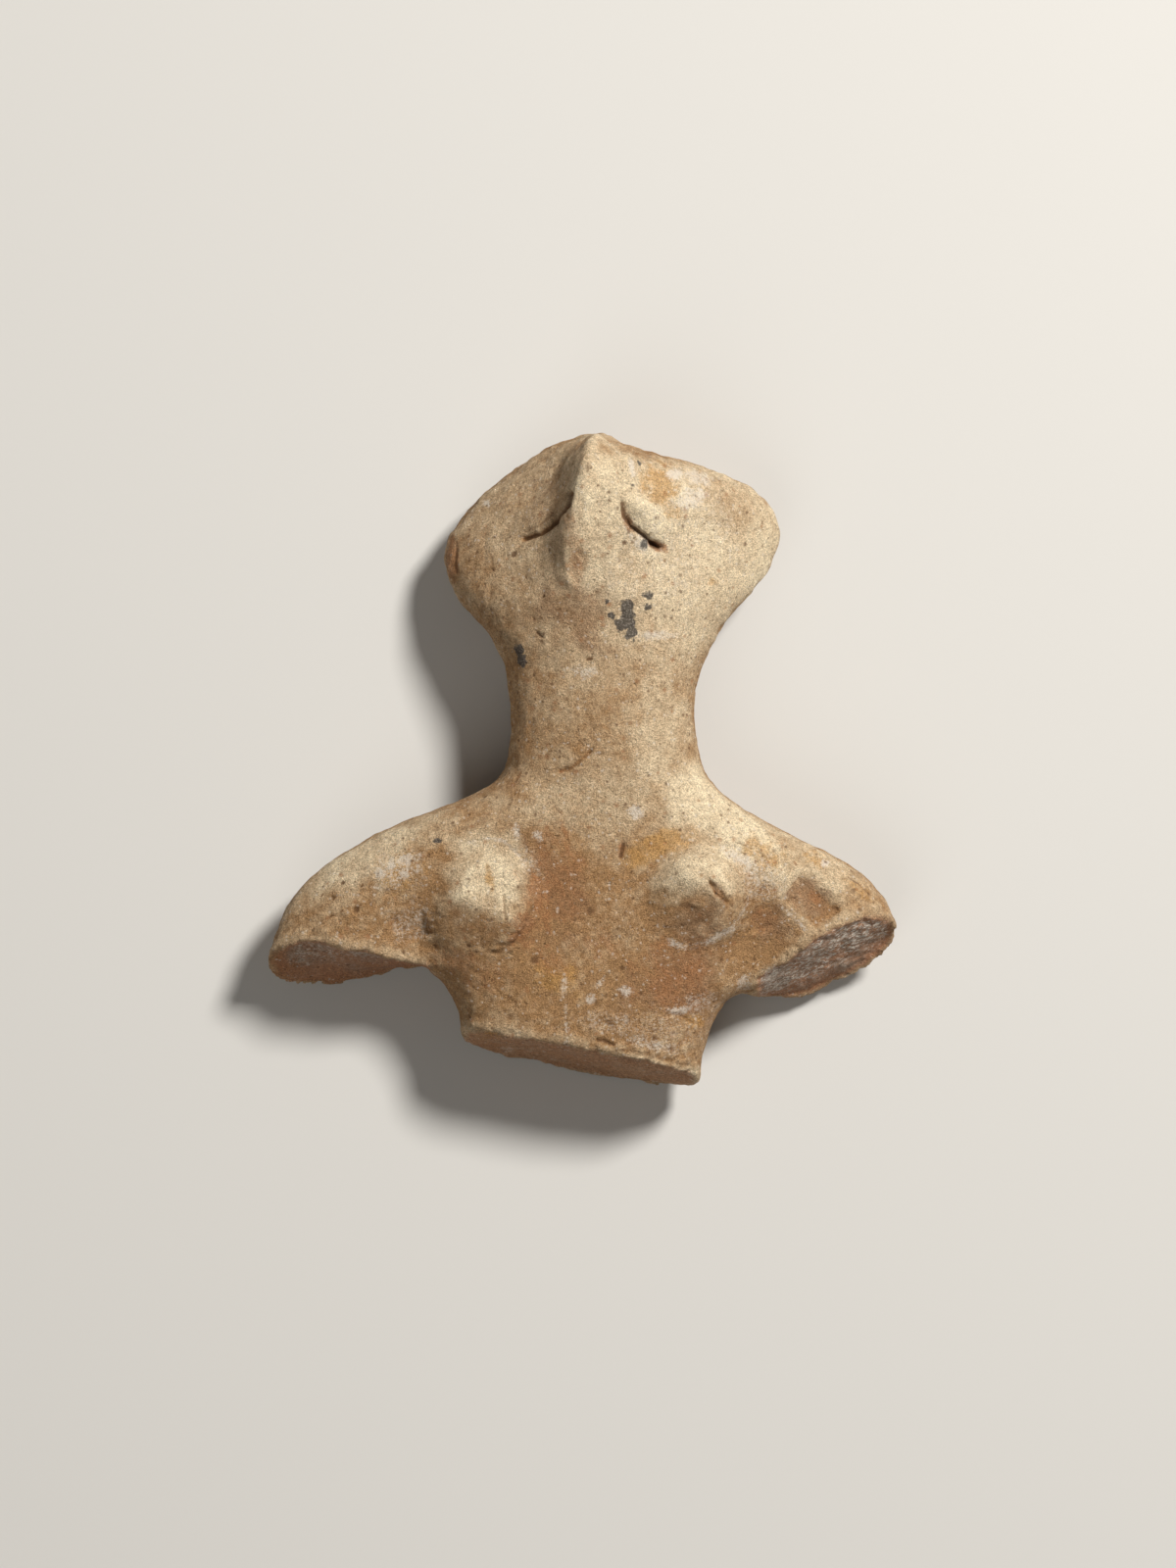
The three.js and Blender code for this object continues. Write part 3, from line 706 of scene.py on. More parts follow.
def flatten(skin):
    """Cuts each flat: inside its oval, what lies in front of its plane is moved back onto the plane along the
    plane's normal, less and less towards the oval's rim."""
    for middle, half, turn, place, facing in FLATS.values():
        outward = np.array(facing) / np.linalg.norm(facing)
        proud = np.maximum((skin.points - place) @ outward, 0)
        share = 1 - smooth_step(*FLAT_FADE, oval_distance(skin.points, middle, half, turn))
        skin.points -= (proud * share)[:, None] * outward


def fill_cheek(skin, front):
    """Raises the cheek beside the nose by a bell over its oval, less as it nears the level."""
    middle, half, turn, height, level = CHEEK_FILL
    over = bell(oval_distance(skin.points, middle, half, turn)) * front
    fade = 1 - smooth_step(level - CHEEK_FADE, level, skin.points[:, 2])
    skin.points[:, 2] += height * over * fade


def shape_skin(skin, polish_rounds):
    """Polishes the facets off, fills the cheek, presses the flats, and smooths the joins, the worn edges and
    the insides of the breaks. Close to a break's rim the polish falls to the rim's own small share."""
    broken = on_breaks(skin.points, skin.normals())
    rim_share = np.where(np.abs(skin.points[:, 0]) > ARM_START, ARM_RIM_POLISH, WAIST_RIM_POLISH)
    share = rim_share + (1 - rim_share) * smooth_step(*POLISH_FADE, skin.rim_distance(broken, RIM_REACH))
    skin.polish(polish_rounds, share)
    front = smooth_step(0, JOIN_FACING, skin.normals()[:, 2])
    joins = np.maximum(smoothed_share(skin.points) * front * share, worn_share(skin.points))
    insides = np.where(broken, smooth_step(*INSIDE_FADE, skin.rim_distance(broken, RIM_REACH)), 0)
    fill_cheek(skin, front)
    flatten(skin)
    skin.soften(SMOOTHING_ROUNDS, np.maximum(joins, insides))
    skin.store()


def refine_near_cuts(mesh):
    """Halves the squares round every cut, so that a cut narrower than a square keeps its shape."""
    skin = Skin(mesh)
    normals = skin.normals()
    near = np.zeros(len(skin.points), bool)
    for bends, *_ in CUTS.values():
        near |= line_distance(skin.points, bends) < REFINE_REACH
    near &= normals[:, 2] > 0
    fine = bmesh.new()
    fine.from_mesh(mesh)
    fine.verts.ensure_lookup_table()
    edges = [e for e in fine.edges if near[e.verts[0].index] and near[e.verts[1].index]]
    bmesh.ops.subdivide_edges(fine, edges=edges, cuts=1, use_grid_fill=True)
    bmesh.ops.triangulate(fine, faces=[f for f in fine.faces if len(f.verts) > 4])
    fine.to_mesh(mesh)
    fine.free()


class Ground:
    """Where each point of the skin lies before it is marked: how squarely it faces the front, how far it is
    inside a break, and how much the edges of the marks wander there."""

    def __init__(self, skin, noise):
        self.normals = skin.normals()
        self.points = skin.points.copy()
        broken = on_breaks(self.points, self.normals)
        self.rim = skin.rim_distance(broken, BREAK_REACH)
        self.broken = np.where(broken, smooth_step(*BREAK_FADE, self.rim), 0)
        self.inner = self.broken * smooth_step(*CORE_FADE, self.rim)
        self.front = smooth_step(0, MARK_FACING, self.normals[:, 2])
        self.rough = smooth_step(*ROUGH_PATCH, noise.mixed(self.points, ROUGH_LAYERS))
        self.wander = noise.mixed(self.points, WANDER)


def cover(ground, ovals, noise, ragged):
    """How strongly a set of coloured patches covers each point: strength times a bell that falls from the
    middle of each oval, with its rim made ragged by waves; the strongest patch wins."""
    best = np.zeros(len(ground.points))
    for number, (middle, half, turn, strength) in enumerate(ovals):
        far = oval_distance(ground.points, middle, half, turn)
        near = far < 2.5
        rough = ragged * noise.waves(ground.points[near], 0.6 * min(half) + 0.25, number)
        best[near] = np.maximum(best[near], strength * np.clip(1.5 - far[near] - rough, 0, 1))
    return best * ground.front


def hand_marks(ground, noise, depths):
    """Broad swellings, small lumps and sandy grain: each its depth times its layers of waves."""
    height = depths["unevenness"] * noise.mixed(ground.points, SWELLINGS)
    height += depths["lumps"] * noise.mixed(ground.points, LUMPS)
    return height + depths["grain"] * (0.5 + ground.rough) * noise.mixed(ground.points, SAND)


def smoothing_strokes(ground, noise):
    """Waves drawn out long: up the neck and head, out along the arms, slanting over the chest."""
    points = ground.points
    arms = smooth_step(12, 17, np.abs(points[:, 0])) * smooth_step(-3, -7, points[:, 1])
    chest = smooth_step(-3, -8, points[:, 1]) * (1 - arms)
    height = (1 - chest - arms) * noise.waves(points * (1, 0.13, 1), 0.75, 4)
    height += arms * noise.waves(points * (0.15, 1, 1), 0.75, 6)
    height += chest * noise.waves(points @ CHEST_SLANT * (1, 0.14, 1), 0.8, 8)
    return height * (1 - ground.broken)


def lost_grains(ground, noise):
    """Pores where grains of sand have dropped out, from 0 to 1: some large, others small and shallow."""
    large = noise.spots(ground.points, 1.7, 0.3)
    small = noise.spots(ground.points, 0.95, 0.22, 4.3)
    return np.maximum(large, 0.8 * small) * (1 - ground.broken) * (0.35 + 0.65 * ground.rough)


def skin_folds(points, noise):
    """Wrinkles drawn out across the body, from about -1.7 to 1.7."""
    return noise.waves(points * (0.4, 1, 1), 0.85, 14) + 0.7 * noise.waves(points * (0.5, 1, 1), 0.45, 15)


def break_relief(ground, noise, depth):
    """Torn clay over the broken ends, and a proud rim round them with nicks out of it."""
    near_rim = 1 - smooth_step(0, RIM_WIDTH, ground.rim)
    nicks = smooth_step(*NICK_RANGE, noise.mixed(ground.points, RIM_NICKS))
    torn = depth * ground.broken * noise.mixed(ground.points, TORN_CLAY)
    return torn + near_rim * (RIM_RISE - NICK_DEPTH * nicks)


def placed_marks(ground):
    """How deep the cuts, hollows and scars go, and how much dirt and painted shade darken them. A cut's
    section is a bell, and a hollow or a scar has a flat floor; depths add up, and the darkest wins."""
    depth_of_all = np.zeros(len(ground.points))
    dirt_and_shade = np.zeros(len(ground.points))
    for bends, half_width, depth, soil_and_shade in CUTS.values():
        away = (line_distance(ground.points, bends) + 0.6 * ground.wander) / half_width
        groove = bell(away) * ground.front
        depth_of_all += depth * groove
        dirt_and_shade = np.maximum(dirt_and_shade, soil_and_shade * smooth_step(0.25, 0.85, groove))
    for middle, half, turn, depth, soil_and_shade in HOLLOWS.values():
        away = oval_distance(ground.points, middle, half, turn) + ground.wander
        dish = (1 - smooth_step(0.75, 1.15, away)) * ground.front
        depth_of_all += depth * dish
        dirt_and_shade = np.maximum(dirt_and_shade, soil_and_shade * dish)
    for corners, depth, soil_and_shade in SCARS.values():
        away = corner_depth(ground.points, corners) + 0.6 * ground.wander
        dish = smooth_step(-0.15, 0.2, away) * ground.front
        depth_of_all += depth * dish
        dirt_and_shade = np.maximum(dirt_and_shade, soil_and_shade * dish)
    return depth_of_all, dirt_and_shade


def head_edge(ground, noise):
    """Crumbling along the edge of the head: waves where the skin faces sideways, above the neck."""
    sideways = 1 - smooth_step(0.25, 0.7, np.abs(ground.normals[:, 2]))
    return sideways * smooth_step(8, 14, ground.points[:, 1]) * noise.mixed(ground.points, EDGE_CRUMBS)


def white_mask(ground, noise):
    """Where the white specks and the pale lines are: the stronger of the patches and of bells round the
    lines."""
    lime = cover(ground, LIME, noise, 0.4)
    for bends, half_width, strength in PALE_LINES:
        away = (line_distance(ground.points, bends) + 0.8 * ground.wander) / half_width
        lime = np.maximum(lime, strength * bell(away) * ground.front)
    return lime


def break_masks(ground, noise):
    """On the broken ends, where the white grains crowd and where the core is grey: bells round the grains'
    lines, the grey one wider and made uneven by waves."""
    crystals = np.zeros(len(ground.points))
    greyed = np.zeros(len(ground.points))
    for bends, reach, strength in GRAIN_LINES.values():
        away = line_distance(ground.points, bends) / reach
        crystals = np.maximum(crystals, ground.inner * np.minimum(strength * bell(away), 1))
        greyed = np.maximum(greyed, bell(0.6 * away))
    core = np.clip(0.3 + 0.7 * greyed + noise.mixed(ground.points, CORE_CLOUDS), 0, 1)
    return {"crystals": crystals, "core": ground.inner * core}


def sunk_and_proud(skin, normals):
    """Masks of the hollows and the ridges, from how far the skin lies from itself rubbed very smooth. The
    hollows' mask browns the colour there as painted shade; the ridges' mask pales it as wear.
    """
    rubbed = skin.points.copy()
    for _ in range(RUBBING_ROUNDS):
        rubbed = skin.spread_points(rubbed)
    sunk = np.einsum("ij,ij->i", rubbed - skin.points, normals)
    return {"sunk": smooth_step(0.02, 0.3, sunk), "proud": smooth_step(0.02, 0.35, -sunk)}


def carve(skin, noise, depths):
    """Moves every point along its normal by the sum of all the marks, and returns the masks for colour."""
    ground = Ground(skin, noise)
    points = ground.points
    pores = lost_grains(ground, noise)
    wrinkled = cover(ground, WRINKLED, noise, 0.3)
    folds = skin_folds(points, noise)
    marks, mark_dirt_and_shade = placed_marks(ground)
    soot = cover(ground, SOOT, noise, 0.55)
    lime = white_mask(ground, noise)
    crust = smooth_step(0.3, 0.6, soot)

    height = hand_marks(ground, noise, depths)
    height += depths["strokes"] * smoothing_strokes(ground, noise)
    height -= depths["pores"] * pores
    height += WRINKLE_HEIGHT * wrinkled * folds
    height += break_relief(ground, noise, depths["break_grain"])
    height -= marks
    height += head_edge(ground, noise)
    height += crust * (CRUST_RISE + CRUST_LUMPS * noise.spots(points, 0.8, 1.0, 8.8)) + LIME_RISE * lime

    lifted = smooth_step(*TABLE_FADE, points[:, 2])
    skin.points = points + (height * lifted)[:, None] * ground.normals
    skin.points[:, 2] = np.maximum(skin.points[:, 2], 0)

    # The pores and the troughs of the wrinkles darken: partly dirt, partly painted shade.
    dirt_and_shade = 0.8 * pores * (1 + noise.waves(points, 2.4, 17))
    dirt_and_shade += 0.7 * wrinkled * smooth_step(0.25, 1.0, -folds)
    stained = 1 - BREAK_STAIN_LOSS * ground.broken
    return {
        "broken": ground.broken * np.where(points[:, 1] < WAIST_TOP, WAIST_TONE, 1),
        "dirt_and_shade": np.clip(np.maximum(dirt_and_shade, mark_dirt_and_shade), 0, 1),
        # The pale patches are partly bleaching and partly painted light; the deep ones are partly darker clay
        # and partly painted shade.
        "pale": cover(ground, PALE_AND_LIT, noise, 0.5),
        "deep": cover(ground, DEEP_BROWN_AND_SHADE, noise, 0.6),
        "ochre": cover(ground, OCHRE, noise, 0.5) * stained,
        "rust": cover(ground, RUST, noise, 0.5) * stained,
        "soot": soot,
        "lime": lime,
        **break_masks(ground, noise),
        **sunk_and_proud(skin, ground.normals),
    }


def add_masks(mesh, masks):
    """Stores each mask as a value on the mesh's points, for the clay material to read."""
    for name, values in masks.items():
        attribute = mesh.attributes.new(name, "FLOAT", "POINT")
        attribute.data.foreach_set("value", values.astype(np.float32))


# ---- Materials -------------------------------------------------------------------------------------------


def add_node(tree, kind, sockets=None, **settings):
    """A node of that kind with its settings. sockets gives its inputs by name or number: a value, or the
    output that feeds it."""
    node = tree.nodes.new(kind)
    for name, value in settings.items():
        setattr(node, name, value)
    for key, value in (sockets or {}).items():
        if isinstance(value, bpy.types.NodeSocket):
            tree.links.new(value, node.inputs[key])
        else:
            node.inputs[key].default_value = value
    return node


def blend_colour(tree, share, low, high, mode="MIX"):
    """The colour low turned into high by share."""
    node = add_node(tree, "ShaderNodeMix", {0: share, 6: low, 7: high}, data_type="RGBA", blend_type=mode)
    return node.outputs[2]


def combine(tree, first, second, operation="ADD", clamp=False):
    """first and second put together by a math node: added, unless operation says otherwise."""
    node = add_node(tree, "ShaderNodeMath", {0: first, 1: second}, operation=operation, use_clamp=clamp)
    return node.outputs[0]


def scaled(tree, value, low_in, high_in, low_out, high_out):
    """value stretched from one range to another and held inside it."""
    sockets = {"Value": value, "From Min": low_in, "From Max": high_in, "To Min": low_out, "To Max": high_out}
    return add_node(tree, "ShaderNodeMapRange", sockets).outputs["Result"]


def new_group(name, numbers):
    """An empty shader node group that takes a place and the named numbers, and gives a mask."""
    group = bpy.data.node_groups.new(name, "ShaderNodeTree")
    group.interface.new_socket("Place", in_out="INPUT", socket_type="NodeSocketVector")
    for label in numbers:
        group.interface.new_socket(label, in_out="INPUT", socket_type="NodeSocketFloat")
    group.interface.new_socket("Mask", in_out="OUTPUT", socket_type="NodeSocketFloat")
    return group, add_node(group, "NodeGroupInput").outputs, add_node(group, "NodeGroupOutput").inputs["Mask"]


def ragged_patch_group():
    """A soft mask turned into a crumbly one: fine noise is added to it, and what passes one half is kept, as
    long as the mask isn't nothing there."""
    group, given, made = new_group("ragged_patch", ("Cover", "Scale", "Crumble", "Softness"))
    noise = add_node(group, "ShaderNodeTexNoise",
                     {"Vector": given["Place"], "Scale": given["Scale"], "Detail": 5.0, "Roughness": 0.8})
    centred = combine(group, noise.outputs["Fac"], 0.5, "SUBTRACT")
    rough = combine(group, combine(group, centred, given["Crumble"], "MULTIPLY"), given["Cover"])
    low = combine(group, 0.5, given["Softness"], "SUBTRACT")
    high = combine(group, 0.5, given["Softness"])
    mask = add_node(group, "ShaderNodeMapRange", {"Value": rough, "From Min": low, "From Max": high},
                    interpolation_type="SMOOTHSTEP")
    near = scaled(group, given["Cover"], 0.05, 0.35, 0.0, 1.0)
    group.links.new(combine(group, mask.outputs["Result"], near, "MULTIPLY"), made)
    return group


def specks_group():
    """Scattered small specks: the middle of each cell is kept, in the share of cells whose random colour is
    low enough."""
    group, given, made = new_group("specks", ("Scale", "Share", "Radius"))
    wobble = add_node(group, "ShaderNodeTexNoise",
                      {"Vector": given["Place"], "Scale": given["Scale"], "Detail": 1.0})
    bent = add_node(group, "ShaderNodeVectorMath",
                    {0: wobble.outputs["Color"], "Scale": 0.35}, operation="SCALE")
    place = add_node(group, "ShaderNodeVectorMath", {0: given["Place"], 1: bent.outputs[0]})
    cells = add_node(group, "ShaderNodeTexVoronoi", {"Vector": place.outputs[0], "Scale": given["Scale"]},
                     feature="F1")
    draw = add_node(group, "ShaderNodeSeparateColor", {"Color": cells.outputs["Color"]})
    chosen = combine(group, draw.outputs["Red"], given["Share"], "LESS_THAN")
    reach = combine(group, given["Radius"], combine(group, draw.outputs["Green"], 0.4), "MULTIPLY")
    dot = scaled(group, cells.outputs["Distance"], 0.0, reach, 1.4, 0.0)
    group.links.new(combine(group, dot, chosen, "MULTIPLY", clamp=True), made)
    return group


def opaque(colour):
    """The colour with nothing of it see-through."""
    return (*colour, 1.0)


class ClayNodes:
    """The clay's node tree: the place on the bust in millimetres, the masks, and the textures laid on it."""

    def __init__(self, tree):
        self.tree = tree
        self.ragged, self.specks = ragged_patch_group(), specks_group()
        place = add_node(tree, "ShaderNodeTexCoord").outputs["Object"]
        in_mm = add_node(tree, "ShaderNodeVectorMath", {0: place, "Scale": 1 / MM}, operation="SCALE")
        self.mm = in_mm.outputs[0]
        self.mask = {}
        for name in MASK_NAMES:
            stored = add_node(tree, "ShaderNodeAttribute", attribute_name=name, attribute_type="GEOMETRY")
            self.mask[name] = stored.outputs["Fac"]
        self.stain_run = self.drawn_out(-32, (1.0, 0.22, 1.0))
        self.mottle = self.noise(0.9, 4.0, 0.6)
        self.sand = self.noise(5.0, 3.0, 0.65)
        self.fine = self.noise(11.0, 2.0, 0.6)

    def drawn_out(self, turn, scale):
        """The place turned by so many degrees and then scaled, so that what is laid on it comes out long."""
        turned = add_node(self.tree, "ShaderNodeMapping",
                          {"Vector": self.mm, "Rotation": (0.0, 0.0, math.radians(turn))})
        scaled_place = add_node(self.tree, "ShaderNodeMapping", {"Vector": turned.outputs[0], "Scale": scale})
        return scaled_place.outputs[0]

    def noise(self, scale, detail=2.0, roughness=0.55):
        """Soft noise of about scale grains to the millimetre."""
        node = add_node(self.tree, "ShaderNodeTexNoise",
                        {"Vector": self.mm, "Scale": scale, "Detail": detail, "Roughness": roughness})
        return node.outputs["Fac"]

    def patch(self, name, scale, crumble, softness, where=None):
        """A mask broken up into a crumbly patch."""
        sockets = {"Place": where or self.mm, "Cover": self.mask[name], "Scale": scale, "Crumble": crumble,
                   "Softness": softness}
        return add_node(self.tree, "ShaderNodeGroup", sockets, node_tree=self.ragged).outputs[0]

    def dots(self, scale, share, radius, where=None):
        """Small specks in that share of the cells, scale cells to the millimetre."""
        sockets = {"Place": where or self.mm, "Scale": scale, "Share": share, "Radius": radius}
        return add_node(self.tree, "ShaderNodeGroup", sockets, node_tree=self.specks).outputs[0]

    def layer(self, under, over, where, strength):
        """The colour under, turned into over by where times strength."""
        return blend_colour(self.tree, combine(self.tree, where, strength, "MULTIPLY"), under, over)


def whole_clay(nodes, colours):
    """Buff over brown: 0.75 of the pale mask, partly bleaching and partly painted light, and 0.25 of the proud
    one for wear on the ridges, give or take the clouds and the mottle, less 0.35 of the sunk one as painted
    shade in the hollows; then the patches of deeper brown, partly darker clay and partly painted shade."""
    tree, mask = nodes.tree, nodes.mask
    proud = combine(tree, mask["proud"], 0.25, "MULTIPLY")
    # The buff share: wear, bleaching and painted light together.
    worn = combine(tree, combine(tree, mask["pale"], 0.75, "MULTIPLY"), proud)
    worn = combine(tree, worn, scaled(tree, nodes.noise(0.16, 3.0), 0.35, 0.65, -0.05, 0.15))
    worn = combine(tree, worn, scaled(tree, nodes.mottle, 0.3, 0.7, -0.15, 0.15))
    # Painted shade: the hollows are pushed towards brown.
    sunk = combine(tree, mask["sunk"], 0.35, "MULTIPLY")
    worn = combine(tree, worn, sunk, "SUBTRACT", clamp=True)
    colour = blend_colour(tree, worn, opaque(colours.brown), opaque(colours.buff))
    # Deeper brown patches, partly darker clay and partly painted shade.
    deep = nodes.patch("deep", 1.4, 1.1, 0.4, nodes.stain_run)
    return nodes.layer(colour, opaque(colours.deep), deep, 0.6)


def broken_clay(nodes, colours, colour):
    """The broken ends: the fracture's colour near the skin, the core's inside, and white grains on it."""
    tree, core_mask = nodes.tree, nodes.mask["core"]
    share = combine(tree, core_mask, scaled(tree, nodes.mottle, 0.3, 0.7, -0.35, 0.25))
    share = combine(tree, share, core_mask, "MULTIPLY", clamp=True)
    core = blend_colour(tree, share, opaque(colours.fracture), opaque(colours.core))
    colour = nodes.layer(colour, core, nodes.mask["broken"], 0.9)
    grains = nodes.dots(3.4, 0.85, 0.7, nodes.drawn_out(-27, (0.55, 1.0, 1.0)))
    return nodes.layer(colour, opaque(colours.lime), grains, nodes.mask["crystals"])


def stained(nodes, colours, colour):
    """Rust drawn out aslant, then ochre."""
    rust = nodes.patch("rust", 1.6, 1.5, 0.3, nodes.stain_run)
    colour = nodes.layer(colour, opaque(colours.rust), rust, 0.7)
    return nodes.layer(colour, opaque(colours.ochre), nodes.patch("ochre", 1.3, 1.4, 0.32), 0.7)


def grained(nodes, colour):
    """Every grain of sand a little lighter or darker: the colour times the grain's tint."""
    tree = nodes.tree
    grain = scaled(tree, combine(tree, nodes.sand, nodes.fine, "MULTIPLY"), 0.15, 0.35, 0.6, 1.42)
    broad = scaled(tree, nodes.noise(1.8, 3.0, 0.6), 0.3, 0.7, 0.85, 1.15)
    grain = combine(tree, grain, broad, "MULTIPLY")
    tint = add_node(tree, "ShaderNodeCombineColor", {0: grain, 1: grain, 2: grain}).outputs[0]
    return blend_colour(tree, 1.0, colour, tint, "MULTIPLY")


def speckled(nodes, colours, colour):
    """Pale, red and white specks, then dirt and painted shade in the cuts and pores, and the dark crusts with
    painted glints over them all.
    """
    tree = nodes.tree
    colour = nodes.layer(colour, opaque(colours.lime), nodes.dots(2.6, 0.12, 0.5), 0.45)
    colour = nodes.layer(colour, opaque(colours.rust), nodes.dots(1.3, 0.12, 0.42), 0.6)
    in_lime = scaled(tree, nodes.mask["lime"], 0.15, 0.45, 0.0, 1.0)
    white_grains = combine(tree, nodes.dots(1.5, 0.75, 0.5), in_lime, "MULTIPLY")
    lime = combine(tree, nodes.patch("lime", 3.6, 2.2, 0.26), white_grains, "MAXIMUM")
    colour = nodes.layer(colour, opaque(colours.lime), lime, 0.68)
    dark_specks = combine(tree, nodes.dots(1.1, 0.4, 0.26), 0.9, "MULTIPLY")
    fine_specks = combine(tree, nodes.dots(2.3, 0.3, 0.3), 0.6, "MULTIPLY")
    specks = combine(tree, dark_specks, fine_specks, "MAXIMUM")
    # Dirt and painted shade in the cuts, pits, pores and creases, with dark specks.
    dirt_and_shade = combine(tree, nodes.patch("dirt_and_shade", 2.6, 0.5, 0.3), specks, "MAXIMUM")
    colour = nodes.layer(colour, opaque(colours.dirt_and_shade), dirt_and_shade, 0.8)
    # Painted glints: the brighter sand in the crusts takes the lime's pale colour as painted highlights.
    painted_glint = scaled(tree, nodes.sand, 0.5, 0.75, 0.0, 0.35)
    crust = blend_colour(tree, painted_glint, opaque(colours.soot), opaque(colours.lime))
    return nodes.layer(colour, crust, nodes.patch("soot", 2.6, 0.9, 0.1), 0.88)


def clay_normal(nodes):
    """The grains, the fine pores and the crumbly breaks, as a bump on the skin."""
    tree = nodes.tree
    torn = combine(tree, combine(tree, nodes.noise(5.0), nodes.mask["broken"], "MULTIPLY"), 0.8, "MULTIPLY")
    grain = combine(tree, combine(tree, nodes.sand, nodes.fine), 1.3, "MULTIPLY")
    pores = combine(tree, nodes.dots(2.4, 0.22, 0.45), 0.8, "MULTIPLY")
    height = combine(tree, combine(tree, grain, torn), pores, "SUBTRACT")
    bump = add_node(tree, "ShaderNodeBump", {"Strength": 1.0, "Distance": GRAIN_BUMP * MM, "Height": height})
    return bump.outputs["Normal"]


def clay_material(colours):
    """Fired clay: buff where it is worn or bleached and as painted light on the faces turned to the key light,
    brown where it is sheltered and as painted shade in the hollows, mottled and sandy, with stains, crusts
    with painted glints, white specks, and dirt with painted shade where the masks put them, and the rougher,
    darker core on the breaks."""
    material = bpy.data.materials.new("fired_clay")
    material.use_nodes = True
    tree = material.node_tree
    tree.nodes.clear()
    nodes = ClayNodes(tree)
    colour = broken_clay(nodes, colours, whole_clay(nodes, colours))
    colour = grained(nodes, stained(nodes, colours, colour))
    colour = speckled(nodes, colours, colour)
    roughness = scaled(tree, nodes.sand, 0.2, 0.8, 0.82, 0.96)
    shader = add_node(tree, "ShaderNodeBsdfPrincipled",
                      {"Base Color": colour, "Roughness": roughness, "Specular IOR Level": 0.25,
                       "Normal": clay_normal(nodes)})
    output = add_node(tree, "ShaderNodeOutputMaterial")
    tree.links.new(shader.outputs["BSDF"], output.inputs["Surface"])
    return material


def table_material(colour):
    """A plain matt table top."""
    material = bpy.data.materials.new("pale_table")
    material.use_nodes = True
    shader = material.node_tree.nodes["Principled BSDF"]
    shader.inputs["Base Color"].default_value = opaque(colour)
    shader.inputs["Roughness"].default_value = 0.9
    return material


# ---- Operators -------------------------------------------------------------------------------------------


class ModelClayBust(bpy.types.Operator):
    """Remake the bust's skin, work the marks of the hand and of wear into it, and give it its clay"""

    bl_idname = "clay_bust.model_bust"
    bl_label = "Model the bust"

    def execute(self, context):
        settings = context.scene.bust_skin
        mesh = remade_skin(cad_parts[NODE], settings.mesh_size)
        if not mesh.polygons:
            raise RuntimeError("The bust's skin came out empty")
        shape_skin(Skin(mesh), settings.polish_rounds)
        refine_near_cuts(mesh)
        skin = Skin(mesh)
        names = ("unevenness", "lumps", "grain", "strokes", "pores", "break_grain")
        masks = carve(skin, Noise(NOISE_SEED), {name: getattr(settings, name) / MM for name in names})
        skin.store()
        add_masks(mesh, masks)
        mesh.shade_smooth()
        mesh.materials.clear()
        mesh.materials.append(clay_material(context.scene.bust_colours))
        piece = bpy.data.objects.new(PIECE, mesh)
        context.scene.collection.objects.link(piece)
        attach(piece, BODY)
        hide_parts(NODE)
        return {"FINISHED"}


def add_area_light(scene, name, place, size, colour, power, target):
    """A round soft light at place, turned to face target."""
    lamp = bpy.data.lights.new(name, "AREA")
    lamp.shape = "DISK"
    lamp.size = size
    lamp.energy = power
    lamp.color = colour
    light = bpy.data.objects.new(name, lamp)
    light.location = place
    light.rotation_euler = (Vector(target) - Vector(place)).to_track_quat("-Z", "Y").to_euler()
    scene.collection.objects.link(light)


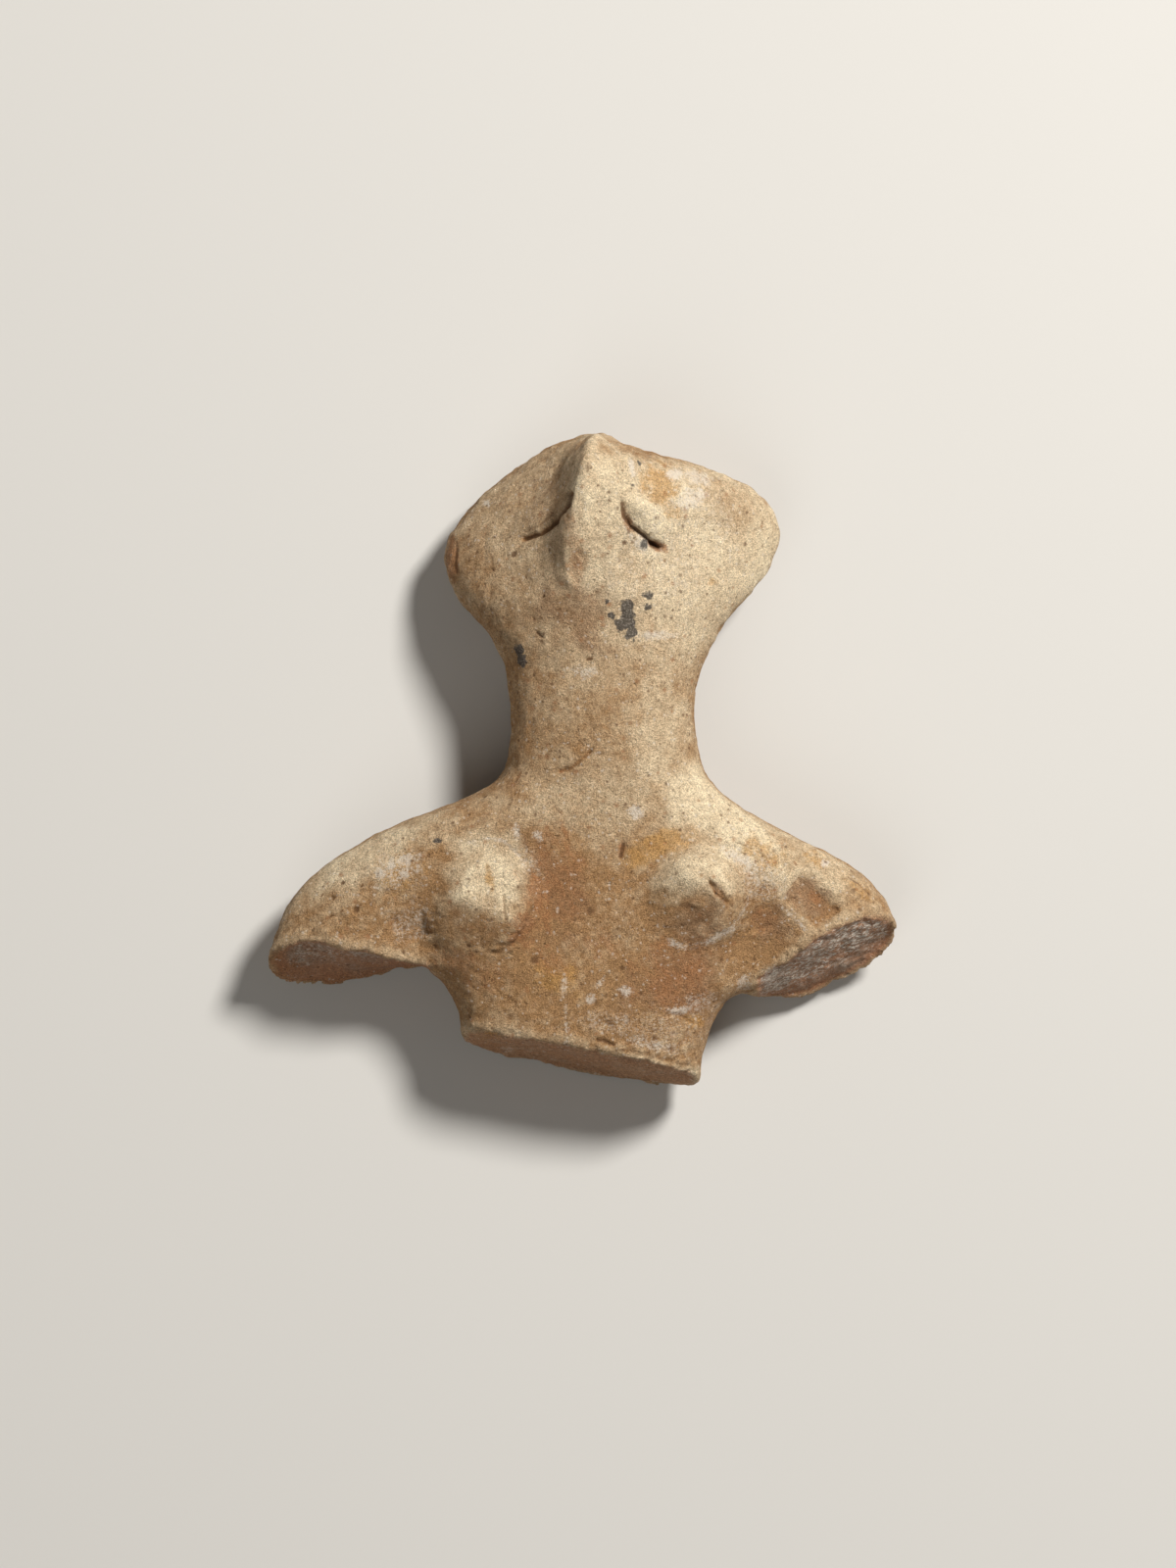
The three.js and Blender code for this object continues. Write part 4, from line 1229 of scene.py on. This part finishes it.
class SetStudio(bpy.types.Operator):
    """Lay the table, hang the lights and point the camera straight down"""

    bl_idname = "clay_bust.set_studio"
    bl_label = "Set the studio"

    def execute(self, context):
        scene, settings = context.scene, context.scene.bust_studio
        half = settings.table_width / 2
        mesh = bpy.data.meshes.new("table")
        corners = [(-half, -half, 0), (half, -half, 0), (half, half, 0), (-half, half, 0)]
        mesh.from_pydata(corners, [], [(0, 1, 2, 3)])
        mesh.materials.append(table_material(settings.table_colour))
        table = bpy.data.objects.new("table", mesh)
        scene.collection.objects.link(table)

        world = bpy.data.worlds.new("studio")
        world.use_nodes = True
        backdrop = world.node_tree.nodes["Background"]
        backdrop.inputs["Color"].default_value = opaque(SURROUND_COLOUR)
        backdrop.inputs["Strength"].default_value = settings.surround
        scene.world = world
        aim = tuple(settings.camera_aim)
        add_area_light(scene, "key_light", *KEY_LIGHT, settings.key_power, aim)
        add_area_light(scene, "fill_light", *FILL_LIGHT, settings.fill_power, aim)

        camera = bpy.data.cameras.new("camera")
        camera.lens = camera.sensor_width * settings.camera_height / settings.view_height
        camera.clip_start, camera.clip_end = 0.01, 20.0
        holder = bpy.data.objects.new("camera", camera)
        holder.location = Vector(aim) + Vector((0, 0, settings.camera_height))
        scene.collection.objects.link(holder)
        scene.camera = holder
        scene.view_settings.view_transform = "Standard"
        return {"FINISHED"}


class ClayBustPanel(bpy.types.Panel):
    """Lists the steps that make the bust and its studio, with their settings"""

    bl_idname = "VIEW3D_PT_clay_bust"
    bl_label = "Clay Bust"
    bl_space_type = "VIEW_3D"
    bl_region_type = "UI"
    bl_category = "Clay Bust"

    def draw(self, context):
        layout = self.layout
        steps = (
            (ModelClayBust, (context.scene.bust_skin, context.scene.bust_colours)),
            (SetStudio, (context.scene.bust_studio,)),
        )
        for operator, groups in steps:
            box = layout.box()
            box.operator(operator.bl_idname)
            for group in groups:
                for name in group.__annotations__:
                    box.prop(group, name)


CLASSES = (BustSkin, BustColours, StudioSettings, ModelClayBust, SetStudio, ClayBustPanel)
SETTINGS = {"bust_skin": BustSkin, "bust_colours": BustColours, "bust_studio": StudioSettings}


def register():
    for made in CLASSES:
        bpy.utils.register_class(made)
    for name, group in SETTINGS.items():
        setattr(bpy.types.Scene, name, bpy.props.PointerProperty(type=group))


def unregister():
    for name in SETTINGS:
        delattr(bpy.types.Scene, name)
    for made in reversed(CLASSES):
        bpy.utils.unregister_class(made)


def main():
    register()
    bpy.ops.clay_bust.model_bust()
    bpy.ops.clay_bust.set_studio()


if __name__ == "__main__":
    main()
